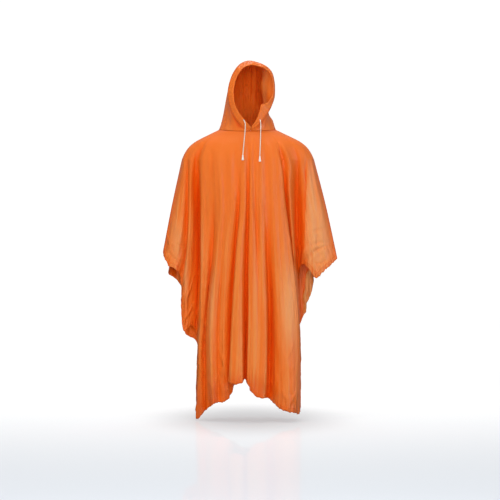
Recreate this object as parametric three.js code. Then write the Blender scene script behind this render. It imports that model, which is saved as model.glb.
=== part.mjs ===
// A hooded rain poncho of orange vinyl film, worn by nobody: one sheet of 1320 by 2032 mm with a welded hood,
// hanging as it does from a pair of shoulders with the arms a little away from the sides.
// Millimetres, +Z up, the front faces -Y. The origin is the middle of the neck, level with the shoulders.
import * as THREE from "three";

// The cut: the sheet is folded over the shoulders, so its side edges run from a tip at each hand to the corners.
const CUT_WIDTH = 1320;
const CUT_LENGTH = 2032;
const SIDE_EDGE = CUT_LENGTH / 2;
const EDGE_ROUND = CUT_WIDTH + 2 * SIDE_EDGE;

// Film, seams and colours.
const WALL = 1.6;
const SEAM_GAP = 0.3;
const FILM = { color: 0xee6a26, roughness: 0.42, metalness: 0 };
const CORD = { color: 0xeeeae4, roughness: 0.8, metalness: 0 };
const PLASTIC = { color: 0xf4f4f2, roughness: 0.35, metalness: 0 };

// The neck ring, where the hood is welded to the sheet. It leans forward: low in front and high behind.
const NECK = { x: -10, y: -5, halfWidth: 111, halfDepth: 93, lean: 6, sideRise: 4 };

// Heights at which the folds are placed, from the neck down.
const HEIGHTS = { yoke: -113, chest: -289, waist: -465, hip: -757 };

// Above the yoke the sheet lies on the shoulders: how full its outline is, and how its slope turns into a fall.
// "folded" is the share of each fold's depth on the chest that it has already at yoke height.
const YOKE = { front: 118, back: 110, left: 266, right: 250, fullness: 2.4, slope: 0.6, turn: 7, folded: 0.3 };

// Between the corners the folds deepen towards the hem: "gain" is added to their depth about a middle plane.
const DEEPEN = { from: -150, to: -580, border: 140 };
const FRONT_DEPTH = { middle: -99, gain: 0.58 };
const BACK_DEPTH = { middle: 116, gain: 1.05 };

// Folds of the front, from the left hand round to the right. "along" is the distance round the cut's edge from the
// left tip, "yoke" is where the fold starts on the shoulders, and the rest are [x, y] at each height.
const FRONT_FOLDS = [
  { along: 0, yoke: -266, chest: [-304, -8], waist: [-337, -16] },
  { along: 95, yoke: -257, chest: [-272, -49], waist: [-292, -58] },
  { along: 150, yoke: -243, chest: [-247, -40], waist: [-255, -36] },
  { along: 300, yoke: -229, chest: [-230, -54], waist: [-238, -55], hip: [-254, -37] },
  { along: 500, yoke: -204, chest: [-200, -4], waist: [-199, 0], hip: [-209, 2] },
  { along: 1016, yoke: -182, chest: [-181, -90], waist: [-184, -86], hip: [-192, -68] },
  { along: 1110, yoke: -150, chest: [-141, -97], waist: [-144, -74], hip: [-172, -40] },
  { along: 1185, yoke: -122, chest: [-112, -119], waist: [-126, -113], hip: [-149, -107] },
  { along: 1230, yoke: -100, chest: [-92, -117], waist: [-108, -106], hip: [-122, -95] },
  { along: 1280, yoke: -80, chest: [-70, -124], waist: [-88, -118], hip: [-106, -106] },
  { along: 1395, yoke: -52, chest: [-44, -113], waist: [-58, -86], hip: [-76, -62] },
  { along: 1465, yoke: -38, chest: [-33, -127], waist: [-50, -124], hip: [-69, -124] },
  { along: 1530, yoke: -24, chest: [-22, -134], waist: [-36, -138], hip: [-46, -148] },
  { along: 1640, yoke: -6, chest: [-7, -116], waist: [-12, -100], hip: [-16, -90] },
  { along: 1715, yoke: 8, chest: [8, -134], waist: [5, -139], hip: [4, -147] },
  { along: 1770, yoke: 20, chest: [20, -122], waist: [30, -121], hip: [28, -141] },
  { along: 1840, yoke: 34, chest: [37, -132], waist: [47, -134], hip: [54, -142] },
  { along: 1905, yoke: 62, chest: [68, -119], waist: [67, -104], hip: [74, -68] },
  { along: 2050, yoke: 84, chest: [92, -127], waist: [101, -130], hip: [112, -118] },
  { along: 2130, yoke: 98, chest: [107, -117], waist: [117, -120], hip: [136, -126] },
  { along: 2230, yoke: 110, chest: [123, -116], waist: [140, -117], hip: [168, -108] },
  { along: 2336, yoke: 119, chest: [134, -100], waist: [158, -98], hip: [187, -84] },
  { along: 2550, yoke: 127, chest: [142, -58], waist: [160, -52], hip: [191, -52] },
  { along: 2640, yoke: 148, chest: [156, -72], waist: [169, -62], hip: [192, -30] },
  { along: 2800, yoke: 182, chest: [181, -12], waist: [184, -4], hip: [191, 0] },
  { along: 2960, yoke: 200, chest: [207, -46], waist: [207, -48] },
  { along: 3080, yoke: 221, chest: [238, -58], waist: [246, -60] },
  { along: 3165, yoke: 232, chest: [256, -50], waist: [265, -53] },
  { along: 3240, yoke: 240, chest: [272, -46], waist: [288, -50] },
  { along: 3352, yoke: 250, chest: [295, -8], waist: [331, -16] },
];

// Where the front's cut edge hangs: down the left side edge, along the hem and up the right side edge.
const FRONT_EDGE = [
  { along: 0, x: -339, y: -18, z: -472 },
  { along: 50, x: -331, y: -38, z: -497 },
  { along: 95, x: -312, y: -53, z: -527 },
  { along: 130, x: -286, y: -56, z: -540 },
  { along: 165, x: -272, y: -26, z: -562 },
  { along: 205, x: -266, y: -30, z: -600 },
  { along: 320, x: -267, y: -30, z: -700 },
  { along: 400, x: -257, y: -38, z: -781 },
  { along: 440, x: -232, y: -20, z: -757 },
  { along: 500, x: -211, y: 2, z: -785 },
  { along: 570, x: -203, y: -22, z: -842 },
  { along: 720, x: -206, y: -26, z: -960 },
  { along: 870, x: -210, y: -24, z: -1050 },
  { along: 1016, x: -207, y: -20, z: -1123 },
  { along: 1050, x: -192, y: -44, z: -1110 },
  { along: 1110, x: -172, y: -34, z: -1086 },
  { along: 1180, x: -144, y: -102, z: -1061 },
  { along: 1230, x: -125, y: -90, z: -1053 },
  { along: 1275, x: -105, y: -98, z: -1051 },
  { along: 1330, x: -80, y: -84, z: -1035 },
  { along: 1362, x: -66, y: -68, z: -1003 },
  { along: 1400, x: -60, y: -56, z: -982 },
  { along: 1470, x: -82, y: -128, z: -974 },
  { along: 1530, x: -55, y: -153, z: -980 },
  { along: 1585, x: -29, y: -147, z: -973 },
  { along: 1640, x: -21, y: -90, z: -960 },
  { along: 1695, x: -8, y: -139, z: -983 },
  { along: 1740, x: 3, y: -147, z: -1006 },
  { along: 1790, x: 26, y: -150, z: -1028 },
  { along: 1840, x: 50, y: -149, z: -1033 },
  { along: 1905, x: 68, y: -70, z: -1036 },
  { along: 1970, x: 90, y: -88, z: -1053 },
  { along: 2050, x: 113, y: -113, z: -1074 },
  { along: 2130, x: 144, y: -131, z: -1086 },
  { along: 2210, x: 170, y: -116, z: -1091 },
  { along: 2336, x: 193, y: -58, z: -1092 },
  { along: 2450, x: 195, y: -42, z: -1010 },
  { along: 2580, x: 196, y: -32, z: -900 },
  { along: 2680, x: 192, y: -20, z: -800 },
  { along: 2760, x: 190, y: 4, z: -700 },
  { along: 2860, x: 192, y: 6, z: -600 },
  { along: 2950, x: 199, y: -30, z: -522 },
  { along: 3000, x: 220, y: -47, z: -527 },
  { along: 3090, x: 255, y: -56, z: -573 },
  { along: 3170, x: 281, y: -53, z: -552 },
  { along: 3250, x: 309, y: -46, z: -526 },
  { along: 3352, x: 340, y: -18, z: -497 },
];

// Folds of the back, from the left hand round to the right.
const BACK_FOLDS = [
  { along: 0, yoke: -266, chest: [-304, -8], waist: [-337, -16] },
  { along: 110, yoke: -256, chest: [-286, 42], waist: [-304, 40] },
  { along: 230, yoke: -240, chest: [-258, 50], waist: [-272, 58] },
  { along: 400, yoke: -222, chest: [-232, 64], waist: [-240, 62], hip: [-252, 46] },
  { along: 560, yoke: -202, chest: [-206, 34], waist: [-204, 33], hip: [-208, 37] },
  { along: 760, yoke: -187, chest: [-188, 70], waist: [-187, 64], hip: [-192, 60] },
  { along: 1016, yoke: -170, chest: [-172, 97], waist: [-171, 96], hip: [-184, 88] },
  { along: 1150, yoke: -138, chest: [-142, 101], waist: [-146, 90], hip: [-152, 80] },
  { along: 1250, yoke: -110, chest: [-114, 124], waist: [-120, 128], hip: [-126, 134] },
  { along: 1345, yoke: -84, chest: [-86, 117], waist: [-90, 104], hip: [-94, 92] },
  { along: 1450, yoke: -54, chest: [-56, 127], waist: [-60, 134], hip: [-62, 146] },
  { along: 1550, yoke: -30, chest: [-30, 125], waist: [-32, 116], hip: [-34, 104] },
  { along: 1640, yoke: -4, chest: [-4, 129], waist: [-4, 138], hip: [-2, 150] },
  { along: 1745, yoke: 26, chest: [27, 118], waist: [29, 106], hip: [30, 96] },
  { along: 1850, yoke: 56, chest: [60, 130], waist: [64, 139], hip: [66, 148] },
  { along: 1945, yoke: 86, chest: [90, 120], waist: [94, 112], hip: [98, 100] },
  { along: 2030, yoke: 110, chest: [114, 120], waist: [119, 124], hip: [122, 130] },
  { along: 2130, yoke: 136, chest: [140, 96], waist: [145, 86], hip: [150, 82] },
  { along: 2300, yoke: 164, chest: [167, 86], waist: [173, 88], hip: [182, 90] },
  { along: 2560, yoke: 180, chest: [181, 64], waist: [185, 62], hip: [190, 62] },
  { along: 2780, yoke: 195, chest: [197, 36], waist: [197, 36], hip: [196, 38] },
  { along: 2950, yoke: 208, chest: [214, 60], waist: [217, 58], hip: [214, 44] },
  { along: 3080, yoke: 222, chest: [240, 58], waist: [248, 62] },
  { along: 3220, yoke: 236, chest: [266, 44], waist: [284, 44] },
  { along: 3352, yoke: 250, chest: [295, -8], waist: [331, -16] },
];

// Where the back's cut edge hangs. It shows below the front's at each hand, and its hem is a little higher.
const BACK_EDGE = [
  { along: 0, x: -339, y: -18, z: -472 },
  { along: 60, x: -323, y: 10, z: -510 },
  { along: 110, x: -311, y: 28, z: -532 },
  { along: 150, x: -320, y: 42, z: -554 },
  { along: 200, x: -293, y: 58, z: -577 },
  { along: 250, x: -273, y: 62, z: -602 },
  { along: 330, x: -262, y: 54, z: -665 },
  { along: 450, x: -255, y: 42, z: -788 },
  { along: 520, x: -220, y: 42, z: -811 },
  { along: 570, x: -203, y: 38, z: -842 },
  { along: 680, x: -190, y: 56, z: -900 },
  { along: 850, x: -185, y: 74, z: -1000 },
  { along: 1016, x: -187, y: 88, z: -1080 },
  { along: 1080, x: -172, y: 110, z: -1077 },
  { along: 1150, x: -152, y: 80, z: -1064 },
  { along: 1250, x: -126, y: 138, z: -1046 },
  { along: 1345, x: -95, y: 88, z: -1028 },
  { along: 1450, x: -62, y: 152, z: -1000 },
  { along: 1550, x: -34, y: 100, z: -982 },
  { along: 1640, x: -1, y: 156, z: -970 },
  { along: 1745, x: 30, y: 92, z: -972 },
  { along: 1850, x: 66, y: 154, z: -990 },
  { along: 1945, x: 98, y: 96, z: -1010 },
  { along: 2030, x: 122, y: 136, z: -1028 },
  { along: 2130, x: 150, y: 80, z: -1044 },
  { along: 2220, x: 168, y: 114, z: -1056 },
  { along: 2336, x: 182, y: 96, z: -1064 },
  { along: 2460, x: 184, y: 84, z: -980 },
  { along: 2600, x: 186, y: 66, z: -880 },
  { along: 2720, x: 189, y: 44, z: -800 },
  { along: 2790, x: 191, y: 38, z: -768 },
  { along: 2850, x: 207, y: 42, z: -729 },
  { along: 2900, x: 218, y: 46, z: -704 },
  { along: 2950, x: 218, y: 52, z: -681 },
  { along: 3010, x: 230, y: 58, z: -657 },
  { along: 3080, x: 246, y: 62, z: -612 },
  { along: 3140, x: 250, y: 54, z: -570 },
  { along: 3220, x: 270, y: 40, z: -538 },
  { along: 3290, x: 307, y: 10, z: -504 },
  { along: 3352, x: 340, y: -18, z: -497 },
];

// The drawcord casing round the face, from the left end at the throat over the brow to the right end.
// Each row is a section: its nose, on the face's side, and its rear edge, where the hood begins.
const CASING = [
  { nose: [4, -108, 10], rear: [1, -99, -4.4] },
  { nose: [-16, -114, 31], rear: [-27, -104, 12] },
  { nose: [-36, -116, 56], rear: [-54, -101, 41] },
  { nose: [-53, -113, 85], rear: [-73, -95, 76] },
  { nose: [-61, -109, 115], rear: [-83, -89, 112] },
  { nose: [-63, -104, 150], rear: [-86, -83, 151] },
  { nose: [-56, -99, 187], rear: [-76, -78, 194] },
  { nose: [-45, -95, 214], rear: [-60, -74, 226] },
  { nose: [-26, -91, 238], rear: [-35, -69, 254] },
  { nose: [2, -87, 250], rear: [1, -65, 267] },
  { nose: [30, -82, 247], rear: [33, -60, 262] },
  { nose: [55, -77, 239], rear: [64, -54, 248] },
  { nose: [75, -73, 222], rear: [85, -49, 226] },
  { nose: [86, -72, 196], rear: [94, -48, 196] },
  { nose: [89, -74, 166], rear: [97, -50, 164] },
  { nose: [86, -80, 132], rear: [95, -57, 126] },
  { nose: [66, -94, 105], rear: [84, -75, 93] },
  { nose: [44, -107, 97], rear: [73, -91, 70] },
  { nose: [38, -113, 76], rear: [57, -101, 46] },
  { nose: [26, -114, 42], rear: [31, -105, 16] },
  { nose: [4.9, -108, 10], rear: [1.9, -99, -4.4] },
];
const CASING_NOSE_THICKNESS = 5.2;
const CASING_REAR_THICKNESS = 1.6;

// Arches of the hood behind the casing: crown height and depth, half widths and where each foot stands on the neck.
const HOOD_ARCHES = [
  { crown: [0, 4, 272], left: 97, right: 80, side: 0, foot: 74 },
  { crown: [-10, 92, 246], left: 90, right: 64, side: 62, foot: 106 },
  { crown: [-18, 146, 166], left: 76, right: 48, side: 98, foot: 126 },
  { crown: [-12, 128, 78], left: 64, right: 52, side: 96, foot: 136 },
];
const HOOD_FULLNESS = 2.4;
const HOOD_FLARE = 5;
const HOOD_FIRST_FOOT = { left: -5.7, right: 6.2 };
const HOOD_LAST_FOOT = 142;
const HOOD_LIFT = 1.2;

// Drawcord: its free ends leave the casing at the throat, hang on the chest and end in bell-shaped plastic tips.
const CORD_DIAMETER = 3.6;
const CORD_SIDES = 8;
const CORD_STEPS = 16;
const LEFT_CORD = [
  [-24.5, -116.6, 36.5],
  [-23, -122.4, 35],
  [-19, -125.4, 25],
  [-18.2, -126, 10],
  [-19.6, -126.6, -14],
  [-23.4, -127.8, -54],
  [-27.5, -130, -98],
];
const RIGHT_CORD = [
  [38, -110.4, 37.5],
  [39, -117.6, 36.4],
  [41, -122.6, 27],
  [41.4, -124.4, 8],
  [41, -125.6, -14],
  [39.6, -127, -55],
  [38, -129.6, -103],
];
const TIP = { length: 21, neckRadius: 2.6, mouthRadius: 4.6, shoulder: 0.55, sides: 16 };

// Grid of the cloth: strips between neighbouring folds, rows on the shoulders and rows below them.
const STRIPS = { front: 2, back: 2 };
const LONG_STRIP = 119;
const YOKE_ROWS = 6;
const FALL_ROWS = { front: 17, back: 15 };
const HOOD_COLUMNS = 20;
const HOOD_ROWS = 12;

const lerp = THREE.MathUtils.lerp;

// The value at a place on a smooth curve through knots: cubic pieces whose slopes follow the knots on either side.
function smooth(knots, values, at) {
  const last = knots.length - 1;
  let i = 0;
  while (i < last - 1 && at > knots[i + 1]) i += 1;
  const slope = (k) => {
    const before = Math.max(k - 1, 0);
    const after = Math.min(k + 1, last);
    return (values[after] - values[before]) / (knots[after] - knots[before]);
  };
  const span = knots[i + 1] - knots[i];
  const t = (at - knots[i]) / span;
  const lead = values[i] * (1 + 2 * t) * (1 - t) ** 2 + values[i + 1] * t * t * (3 - 2 * t);
  return lead + span * (slope(i) * t * (1 - t) ** 2 + slope(i + 1) * t * t * (t - 1));
}

// The point at a place on a smooth curve through points.
function smoothPoint(knots, points, at) {
  const axis = (name) => smooth(knots, points.map((p) => p[name]), at);
  return new THREE.Vector3(axis("x"), axis("y"), axis("z"));
}

// A point of the neck ring, by its angle from the front: -90 is the left side and 90 the right.
function neckPoint(degrees) {
  const angle = THREE.MathUtils.degToRad(degrees);
  const z = -NECK.lean * Math.cos(angle) + NECK.sideRise * Math.sin(angle) ** 2;
  const y = NECK.y - NECK.halfDepth * Math.cos(angle);
  return new THREE.Vector3(NECK.x + NECK.halfWidth * Math.sin(angle), y, z);
}

// Where the sheet leaves the shoulders, by x: the outline at yoke height, in front (-1) or behind (1).
function yokePoint(x, facing) {
  const share = Math.min(Math.abs(x) / (x < 0 ? YOKE.left : YOKE.right), 1);
  const depth = (1 - share ** YOKE.fullness) ** (1 / YOKE.fullness);
  const y = facing * depth * (facing < 0 ? YOKE.front : YOKE.back);
  return new THREE.Vector3(x, y, HEIGHTS.yoke);
}

// A fold's line below the yoke, at a share of its fall: it passes its own place at each height above its end.
function foldPoint(fold, end, facing, share) {
  const places = [yokePoint(fold.yoke, facing)];
  if (Math.abs(places[0].y) > 1e-6) places[0].y = lerp(places[0].y, fold.chest[1], YOKE.folded);
  for (const height of ["chest", "waist", "hip"]) {
    const clear = HEIGHTS[height] > end.z + 45;
    if (fold[height] && clear) places.push(new THREE.Vector3(...fold[height], HEIGHTS[height]));
  }
  places.push(end);
  const z = lerp(HEIGHTS.yoke, end.z, share);
  const at = smoothPoint(places.map((p) => -p.z), places, -z);
  at.z = z;
  return at;
}

// How much deeper a fold hangs at a place of the cut and a height.
function deepening(depth, along, z) {
  const inner = Math.min(along - SIDE_EDGE, SIDE_EDGE + CUT_WIDTH - along);
  const across = THREE.MathUtils.smoothstep(inner, 0, DEEPEN.border);
  return 1 + depth.gain * across * THREE.MathUtils.smoothstep(-z, -DEEPEN.from, -DEEPEN.to);
}

// A row on the shoulders, at a share of the way from the neck ring to the yoke.
function yokeRow(yokes, out) {
  const down = YOKE.slope * out + (1 - YOKE.slope) * out ** YOKE.turn;
  return yokes.map(({ at, fold }) => {
    const turn = Math.atan2((at.x - NECK.x) / NECK.halfWidth, -(at.y - NECK.y) / NECK.halfDepth);
    const sided = Math.abs(at.y) < 1e-6 ? Math.sign(at.x) * 90 : THREE.MathUtils.radToDeg(turn);
    const start = neckPoint(sided);
    const y = lerp(start.y, at.y, out) + fold * out ** 4;
    return new THREE.Vector3(lerp(start.x, at.x, out), y, lerp(start.z, at.z, down));
  });
}

// One half of the sheet as rows of points, from the neck out to the cut's edge.
function sheetRows(folds, edge, facing, depth, alongs, fallRows) {
  const edgeKnots = edge.map((e) => e.along);
  const foldKnots = folds.map((f) => f.along);
  const edgeAt = (along) => smoothPoint(edgeKnots, edge, along);
  const ends = folds.map((f) => edgeAt(f.along));
  const yokes = alongs.map((along) => {
    const at = yokePoint(smooth(foldKnots, folds.map((f) => f.yoke), along), facing);
    const inner = Math.sin((Math.PI * along) / EDGE_ROUND) > 1e-9 ? 1 : 0;
    const chest = smooth(foldKnots, folds.map((f) => f.chest[1]), along);
    return { at, fold: YOKE.folded * inner * (chest - at.y) };
  });
  const rows = [];
  for (let r = 0; r < YOKE_ROWS; r += 1) rows.push(yokeRow(yokes, Math.sin(((r / YOKE_ROWS) * Math.PI) / 2)));
  for (let r = 0; r <= fallRows; r += 1) {
    const share = r / fallRows;
    const lines = folds.map((f, i) => foldPoint(f, ends[i], facing, share));
    rows.push(
      alongs.map((along) => {
        const at = smoothPoint(foldKnots, lines, along);
        const off = edgeAt(along).sub(smoothPoint(foldKnots, ends, along));
        at.addScaledVector(off, share ** 5);
        at.y = depth.middle + (at.y - depth.middle) * deepening(depth, along, at.z);
        return at;
      }),
    );
  }
  return rows;
}

// Places round the cut's edge: every fold and every edge point, with strips between the folds.
function placesAlong(folds, strips) {
  const places = [folds[0].along];
  for (let i = 1; i < folds.length; i += 1) {
    const span = folds[i].along - folds[i - 1].along;
    const count = span > LONG_STRIP ? strips + 1 : strips;
    for (let s = 1; s <= count; s += 1) places.push(folds[i - 1].along + (span * s) / count);
  }
  return places;
}

// The outward normal at each point of a grid of rows.
function gridNormals(rows) {
  const last = rows.length - 1;
  return rows.map((row, r) =>
    row.map((_, c) => {
      const end = row.length - 1;
      const down = rows[Math.min(r + 1, last)][c].clone().sub(rows[Math.max(r - 1, 0)][c]);
      const across = row[Math.min(c + 1, end)].clone().sub(row[Math.max(c - 1, 0)]);
      return down.cross(across).normalize();
    }),
  );
}

// A closed wall of a given thickness on a grid of rows, as two skins joined by a rim.
function wall(rows, thickness, normals) {
  const width = rows[0].length;
  const height = rows.length;
  const positions = [];
  for (const side of [0.5, -0.5]) {
    rows.forEach((row, r) =>
      row.forEach((p, c) => {
        const q = p.clone().addScaledVector(normals[r][c], side * thickness);
        positions.push(q.x, q.y, q.z);
      }),
    );
  }
  const skin = width * height;
  const id = (r, c, inner) => r * width + c + (inner ? skin : 0);
  const faces = [];
  const quad = (a, b, c, d) => faces.push(a, b, c, a, c, d);
  for (let r = 0; r < height - 1; r += 1) {
    for (let c = 0; c < width - 1; c += 1) {
      quad(id(r, c, 0), id(r + 1, c, 0), id(r + 1, c + 1, 0), id(r, c + 1, 0));
      quad(id(r, c, 1), id(r, c + 1, 1), id(r + 1, c + 1, 1), id(r + 1, c, 1));
    }
  }
  for (let c = 0; c < width - 1; c += 1) {
    quad(id(0, c, 0), id(0, c + 1, 0), id(0, c + 1, 1), id(0, c, 1));
    quad(id(height - 1, c, 1), id(height - 1, c + 1, 1), id(height - 1, c + 1, 0), id(height - 1, c, 0));
  }
  for (let r = 0; r < height - 1; r += 1) {
    quad(id(r, 0, 0), id(r, 0, 1), id(r + 1, 0, 1), id(r + 1, 0, 0));
    quad(id(r, width - 1, 1), id(r, width - 1, 0), id(r + 1, width - 1, 0), id(r + 1, width - 1, 1));
  }
  const geometry = new THREE.BufferGeometry();
  geometry.setAttribute("position", new THREE.Float32BufferAttribute(positions, 3));
  geometry.setIndex(faces);
  return geometry;
}

// The front or the back of the sheet.
function sheetPanel(folds, edge, facing, depth, strips, fallRows) {
  const rows = sheetRows(folds, edge, facing, depth, placesAlong(folds, strips), fallRows);
  const normals = gridNormals(rows);
  const last = rows[0].length - 1;
  const shift = (facing * SEAM_GAP) / 2;
  rows.forEach((row, r) => {
    for (const c of [0, last]) {
      row[c].y += shift;
      normals[r][c].setY(0).normalize();
    }
  });
  return wall(rows, WALL, normals);
}

// The casing's section at a share of the way round the face: its nose, its rear edge and its thickness's direction.
function casingSection(share) {
  const knots = CASING.map((_, i) => i);
  const side = (name, at) => smoothPoint(knots, CASING.map((c) => new THREE.Vector3(...c[name])), at * knots.at(-1));
  const nose = side("nose", share);
  const rear = side("rear", share);
  const onward = side("rear", Math.min(share + 0.02, 1)).sub(side("rear", Math.max(share - 0.02, 0)));
  const outward = onward.cross(rear.clone().sub(nose)).normalize();
  return { nose, rear, outward };
}

// The casing: a flat tube with the drawcord inside its nose, thinning to the weld at its rear.
function casingGeometry() {
  const outline = [
    { back: 0, half: 0 },
    { back: 0.07, half: 0.72 },
    { back: 0.24, half: 1 },
    { back: 0.5, half: 0.72 },
    { back: 1, half: CASING_REAR_THICKNESS / CASING_NOSE_THICKNESS },
  ];
  const loop = [...outline, ...outline.slice(1).reverse().map((o) => ({ back: o.back, half: -o.half }))];
  const stations = 2 * HOOD_COLUMNS;
  const positions = [];
  for (let s = 0; s <= stations; s += 1) {
    const { nose, rear, outward } = casingSection(s / stations);
    for (const o of loop) {
      const p = nose.clone().lerp(rear, o.back);
      p.addScaledVector(outward, (o.half * CASING_NOSE_THICKNESS) / 2);
      positions.push(p.x, p.y, p.z);
    }
  }
  const faces = [];
  const size = loop.length;
  for (let s = 0; s < stations; s += 1) {
    for (let k = 0; k < size; k += 1) {
      const a = s * size + k;
      const b = s * size + ((k + 1) % size);
      faces.push(a, b + size, b, a, a + size, b + size);
    }
  }
  for (let k = 1; k < size - 1; k += 1) {
    const end = stations * size;
    faces.push(0, k, k + 1);
    faces.push(end, end + k + 1, end + k);
  }
  const geometry = new THREE.BufferGeometry();
  geometry.setAttribute("position", new THREE.Float32BufferAttribute(positions, 3));
  geometry.setIndex(faces);
  return geometry;
}

// A point of a hood arch, by its share from the left foot (-1) over the crown (0) to the right foot (1).
function archPoint(arch, share) {
  const crown = new THREE.Vector3(...arch.crown);
  const foot = neckPoint(share < 0 ? -arch.foot : arch.foot);
  const rise = Math.cos((Math.abs(share) * Math.PI) / 2);
  const spread = (1 - rise ** HOOD_FULLNESS) ** (1 / HOOD_FULLNESS);
  const reach = share < 0 ? -arch.left : arch.right;
  const flare = (1 - rise) ** HOOD_FLARE;
  const x = crown.x + (reach - crown.x) * spread;
  const y = lerp(arch.side, crown.y, rise ** 1.5);
  return new THREE.Vector3(lerp(x, foot.x, flare), lerp(y, foot.y, flare), lerp(foot.z, crown.z, rise));
}

// A point of the hood: share as on an arch, back from the casing (0) to the nape's seam (1).
function hoodPoint(share, back) {
  const knots = [0, 0.3, 0.55, 0.75, 0.9, 1];
  const { nose, rear } = casingSection((share + 1) / 2);
  const side = share < 0 ? -1 : 1;
  const first = rear.clone().add(rear.clone().sub(nose).setLength(SEAM_GAP));
  const last = neckPoint(side * lerp(180, HOOD_LAST_FOOT, Math.abs(share)));
  const at = smoothPoint(knots, [first, ...HOOD_ARCHES.map((a) => archPoint(a, share)), last], back);
  const start = side < 0 ? HOOD_FIRST_FOOT.left : HOOD_FIRST_FOOT.right;
  const feet = [start, ...HOOD_ARCHES.map((a) => a.foot), HOOD_LAST_FOOT];
  const ends = feet.map((f) => neckPoint(side * f));
  const drift = neckPoint(side * smooth(knots, feet, back)).sub(smoothPoint(knots, ends, back));
  at.addScaledVector(drift, Math.abs(share) ** 6);
  at.z += HOOD_LIFT * Math.max(Math.abs(share) ** 6 * Math.min(back * 8, 1), back ** 6);
  return at;
}

// Both halves of the hood as grids of points and normals, each from the crown seam down to the neck.
function hoodGrids() {
  const rows = [];
  for (let r = 0; r <= HOOD_ROWS; r += 1) {
    const row = [];
    for (let c = -HOOD_COLUMNS; c <= HOOD_COLUMNS; c += 1) row.push(hoodPoint(c / HOOD_COLUMNS, r / HOOD_ROWS));
    rows.push(row);
  }
  const normals = gridNormals(rows);
  normals[0] = rows[0].map((_, c) => casingSection(c / (2 * HOOD_COLUMNS)).outward.negate());
  return { rows, normals };
}

// One half of the hood, set back from the crown seam by half its gap.
function hoodPanel(side) {
  const { rows, normals } = hoodGrids();
  const half = (row) => (side < 0 ? row.slice(0, HOOD_COLUMNS + 1) : row.slice(HOOD_COLUMNS));
  const seam = side < 0 ? HOOD_COLUMNS : 0;
  const panel = rows.map((row) => half(row));
  for (const row of panel) {
    const away = row[side < 0 ? seam - 1 : seam + 1].clone().sub(row[seam]).normalize();
    row[seam].addScaledVector(away, SEAM_GAP / 2);
  }
  return wall(panel, WALL, normals.map((row) => half(row)));
}

// A free end of the drawcord: a round cord along its route.
function cordGeometry(route) {
  const path = new THREE.CatmullRomCurve3(route.map((p) => new THREE.Vector3(...p)), false, "centripetal");
  const section = new THREE.Shape();
  for (let k = 0; k < CORD_SIDES; k += 1) {
    const angle = (k / CORD_SIDES) * 2 * Math.PI;
    const x = (Math.cos(angle) * CORD_DIAMETER) / 2;
    const y = (Math.sin(angle) * CORD_DIAMETER) / 2;
    if (k === 0) section.moveTo(x, y);
    else section.lineTo(x, y);
  }
  return new THREE.ExtrudeGeometry(section, { steps: CORD_STEPS, extrudePath: path, bevelEnabled: false });
}

// A bell-shaped tip, hanging below the end of a cord.
function tipGeometry() {
  const profile = [
    new THREE.Vector2(0, 0),
    new THREE.Vector2(TIP.neckRadius, 0),
    new THREE.Vector2(TIP.neckRadius * 1.12, -TIP.length * 0.3),
    new THREE.Vector2(TIP.mouthRadius * 0.95, -TIP.length * 0.72),
    new THREE.Vector2(TIP.mouthRadius, -TIP.length * 0.9),
    new THREE.Vector2(TIP.mouthRadius * 0.8, -TIP.length),
    new THREE.Vector2(0, -TIP.length),
  ];
  return new THREE.LatheGeometry(profile.reverse(), TIP.sides).rotateX(Math.PI / 2);
}

function part(name, geometry, look) {
  const mesh = new THREE.Mesh(geometry, new THREE.MeshStandardMaterial(look));
  mesh.name = name;
  return mesh;
}

const poncho = new THREE.Group();
poncho.add(
  part("front_panel", sheetPanel(FRONT_FOLDS, FRONT_EDGE, -1, FRONT_DEPTH, STRIPS.front, FALL_ROWS.front), FILM),
  part("back_panel", sheetPanel(BACK_FOLDS, BACK_EDGE, 1, BACK_DEPTH, STRIPS.back, FALL_ROWS.back), FILM),
  part("hood_left", hoodPanel(-1), FILM),
  part("hood_right", hoodPanel(1), FILM),
  part("hood_casing", casingGeometry(), FILM),
);
for (const [side, route] of [["left", LEFT_CORD], ["right", RIGHT_CORD]]) {
  poncho.add(part("drawcord_" + side, cordGeometry(route), CORD));
  const tip = part("cord_tip_" + side, tipGeometry(), PLASTIC);
  const [x, y, z] = route[route.length - 1];
  tip.position.set(x, y, z - SEAM_GAP);
  poncho.add(tip);
}

export default poncho;
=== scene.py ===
"""A hooded rain poncho of orange vinyl film, hanging as worn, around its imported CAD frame.

Sizes are in millimetres in the tables and in metres in the meshes; +Z is up and the front faces -Y.
"""

import logging
import math
from dataclasses import dataclass, field
from enum import Enum
from typing import Callable, Dict, List, Optional, Sequence, Tuple

import bpy
import numpy as np
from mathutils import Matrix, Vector

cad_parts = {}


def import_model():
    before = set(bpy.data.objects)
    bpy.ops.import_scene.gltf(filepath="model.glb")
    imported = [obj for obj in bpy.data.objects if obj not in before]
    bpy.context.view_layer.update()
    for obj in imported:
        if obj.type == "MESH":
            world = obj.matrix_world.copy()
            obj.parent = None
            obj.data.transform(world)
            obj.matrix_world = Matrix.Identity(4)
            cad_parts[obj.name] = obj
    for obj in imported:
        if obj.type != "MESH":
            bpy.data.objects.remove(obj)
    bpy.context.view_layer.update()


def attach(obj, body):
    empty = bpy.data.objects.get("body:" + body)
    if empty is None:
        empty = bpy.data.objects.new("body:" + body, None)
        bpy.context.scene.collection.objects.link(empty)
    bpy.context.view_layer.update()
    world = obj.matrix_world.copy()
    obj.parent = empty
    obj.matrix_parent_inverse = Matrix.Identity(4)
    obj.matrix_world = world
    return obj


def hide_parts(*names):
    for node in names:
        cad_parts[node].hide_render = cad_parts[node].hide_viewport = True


LOG = logging.getLogger("poncho")
MM = 0.001
Point = Tuple[float, float, float]


# ---------------------------------------------------------------- sizes and tables of the cut


class Facing(Enum):
    """Which half of the sheet a panel is."""

    FRONT = -1
    BACK = 1


class Side(Enum):
    """A side of the poncho as seen from the front."""

    LEFT = -1
    RIGHT = 1


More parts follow.
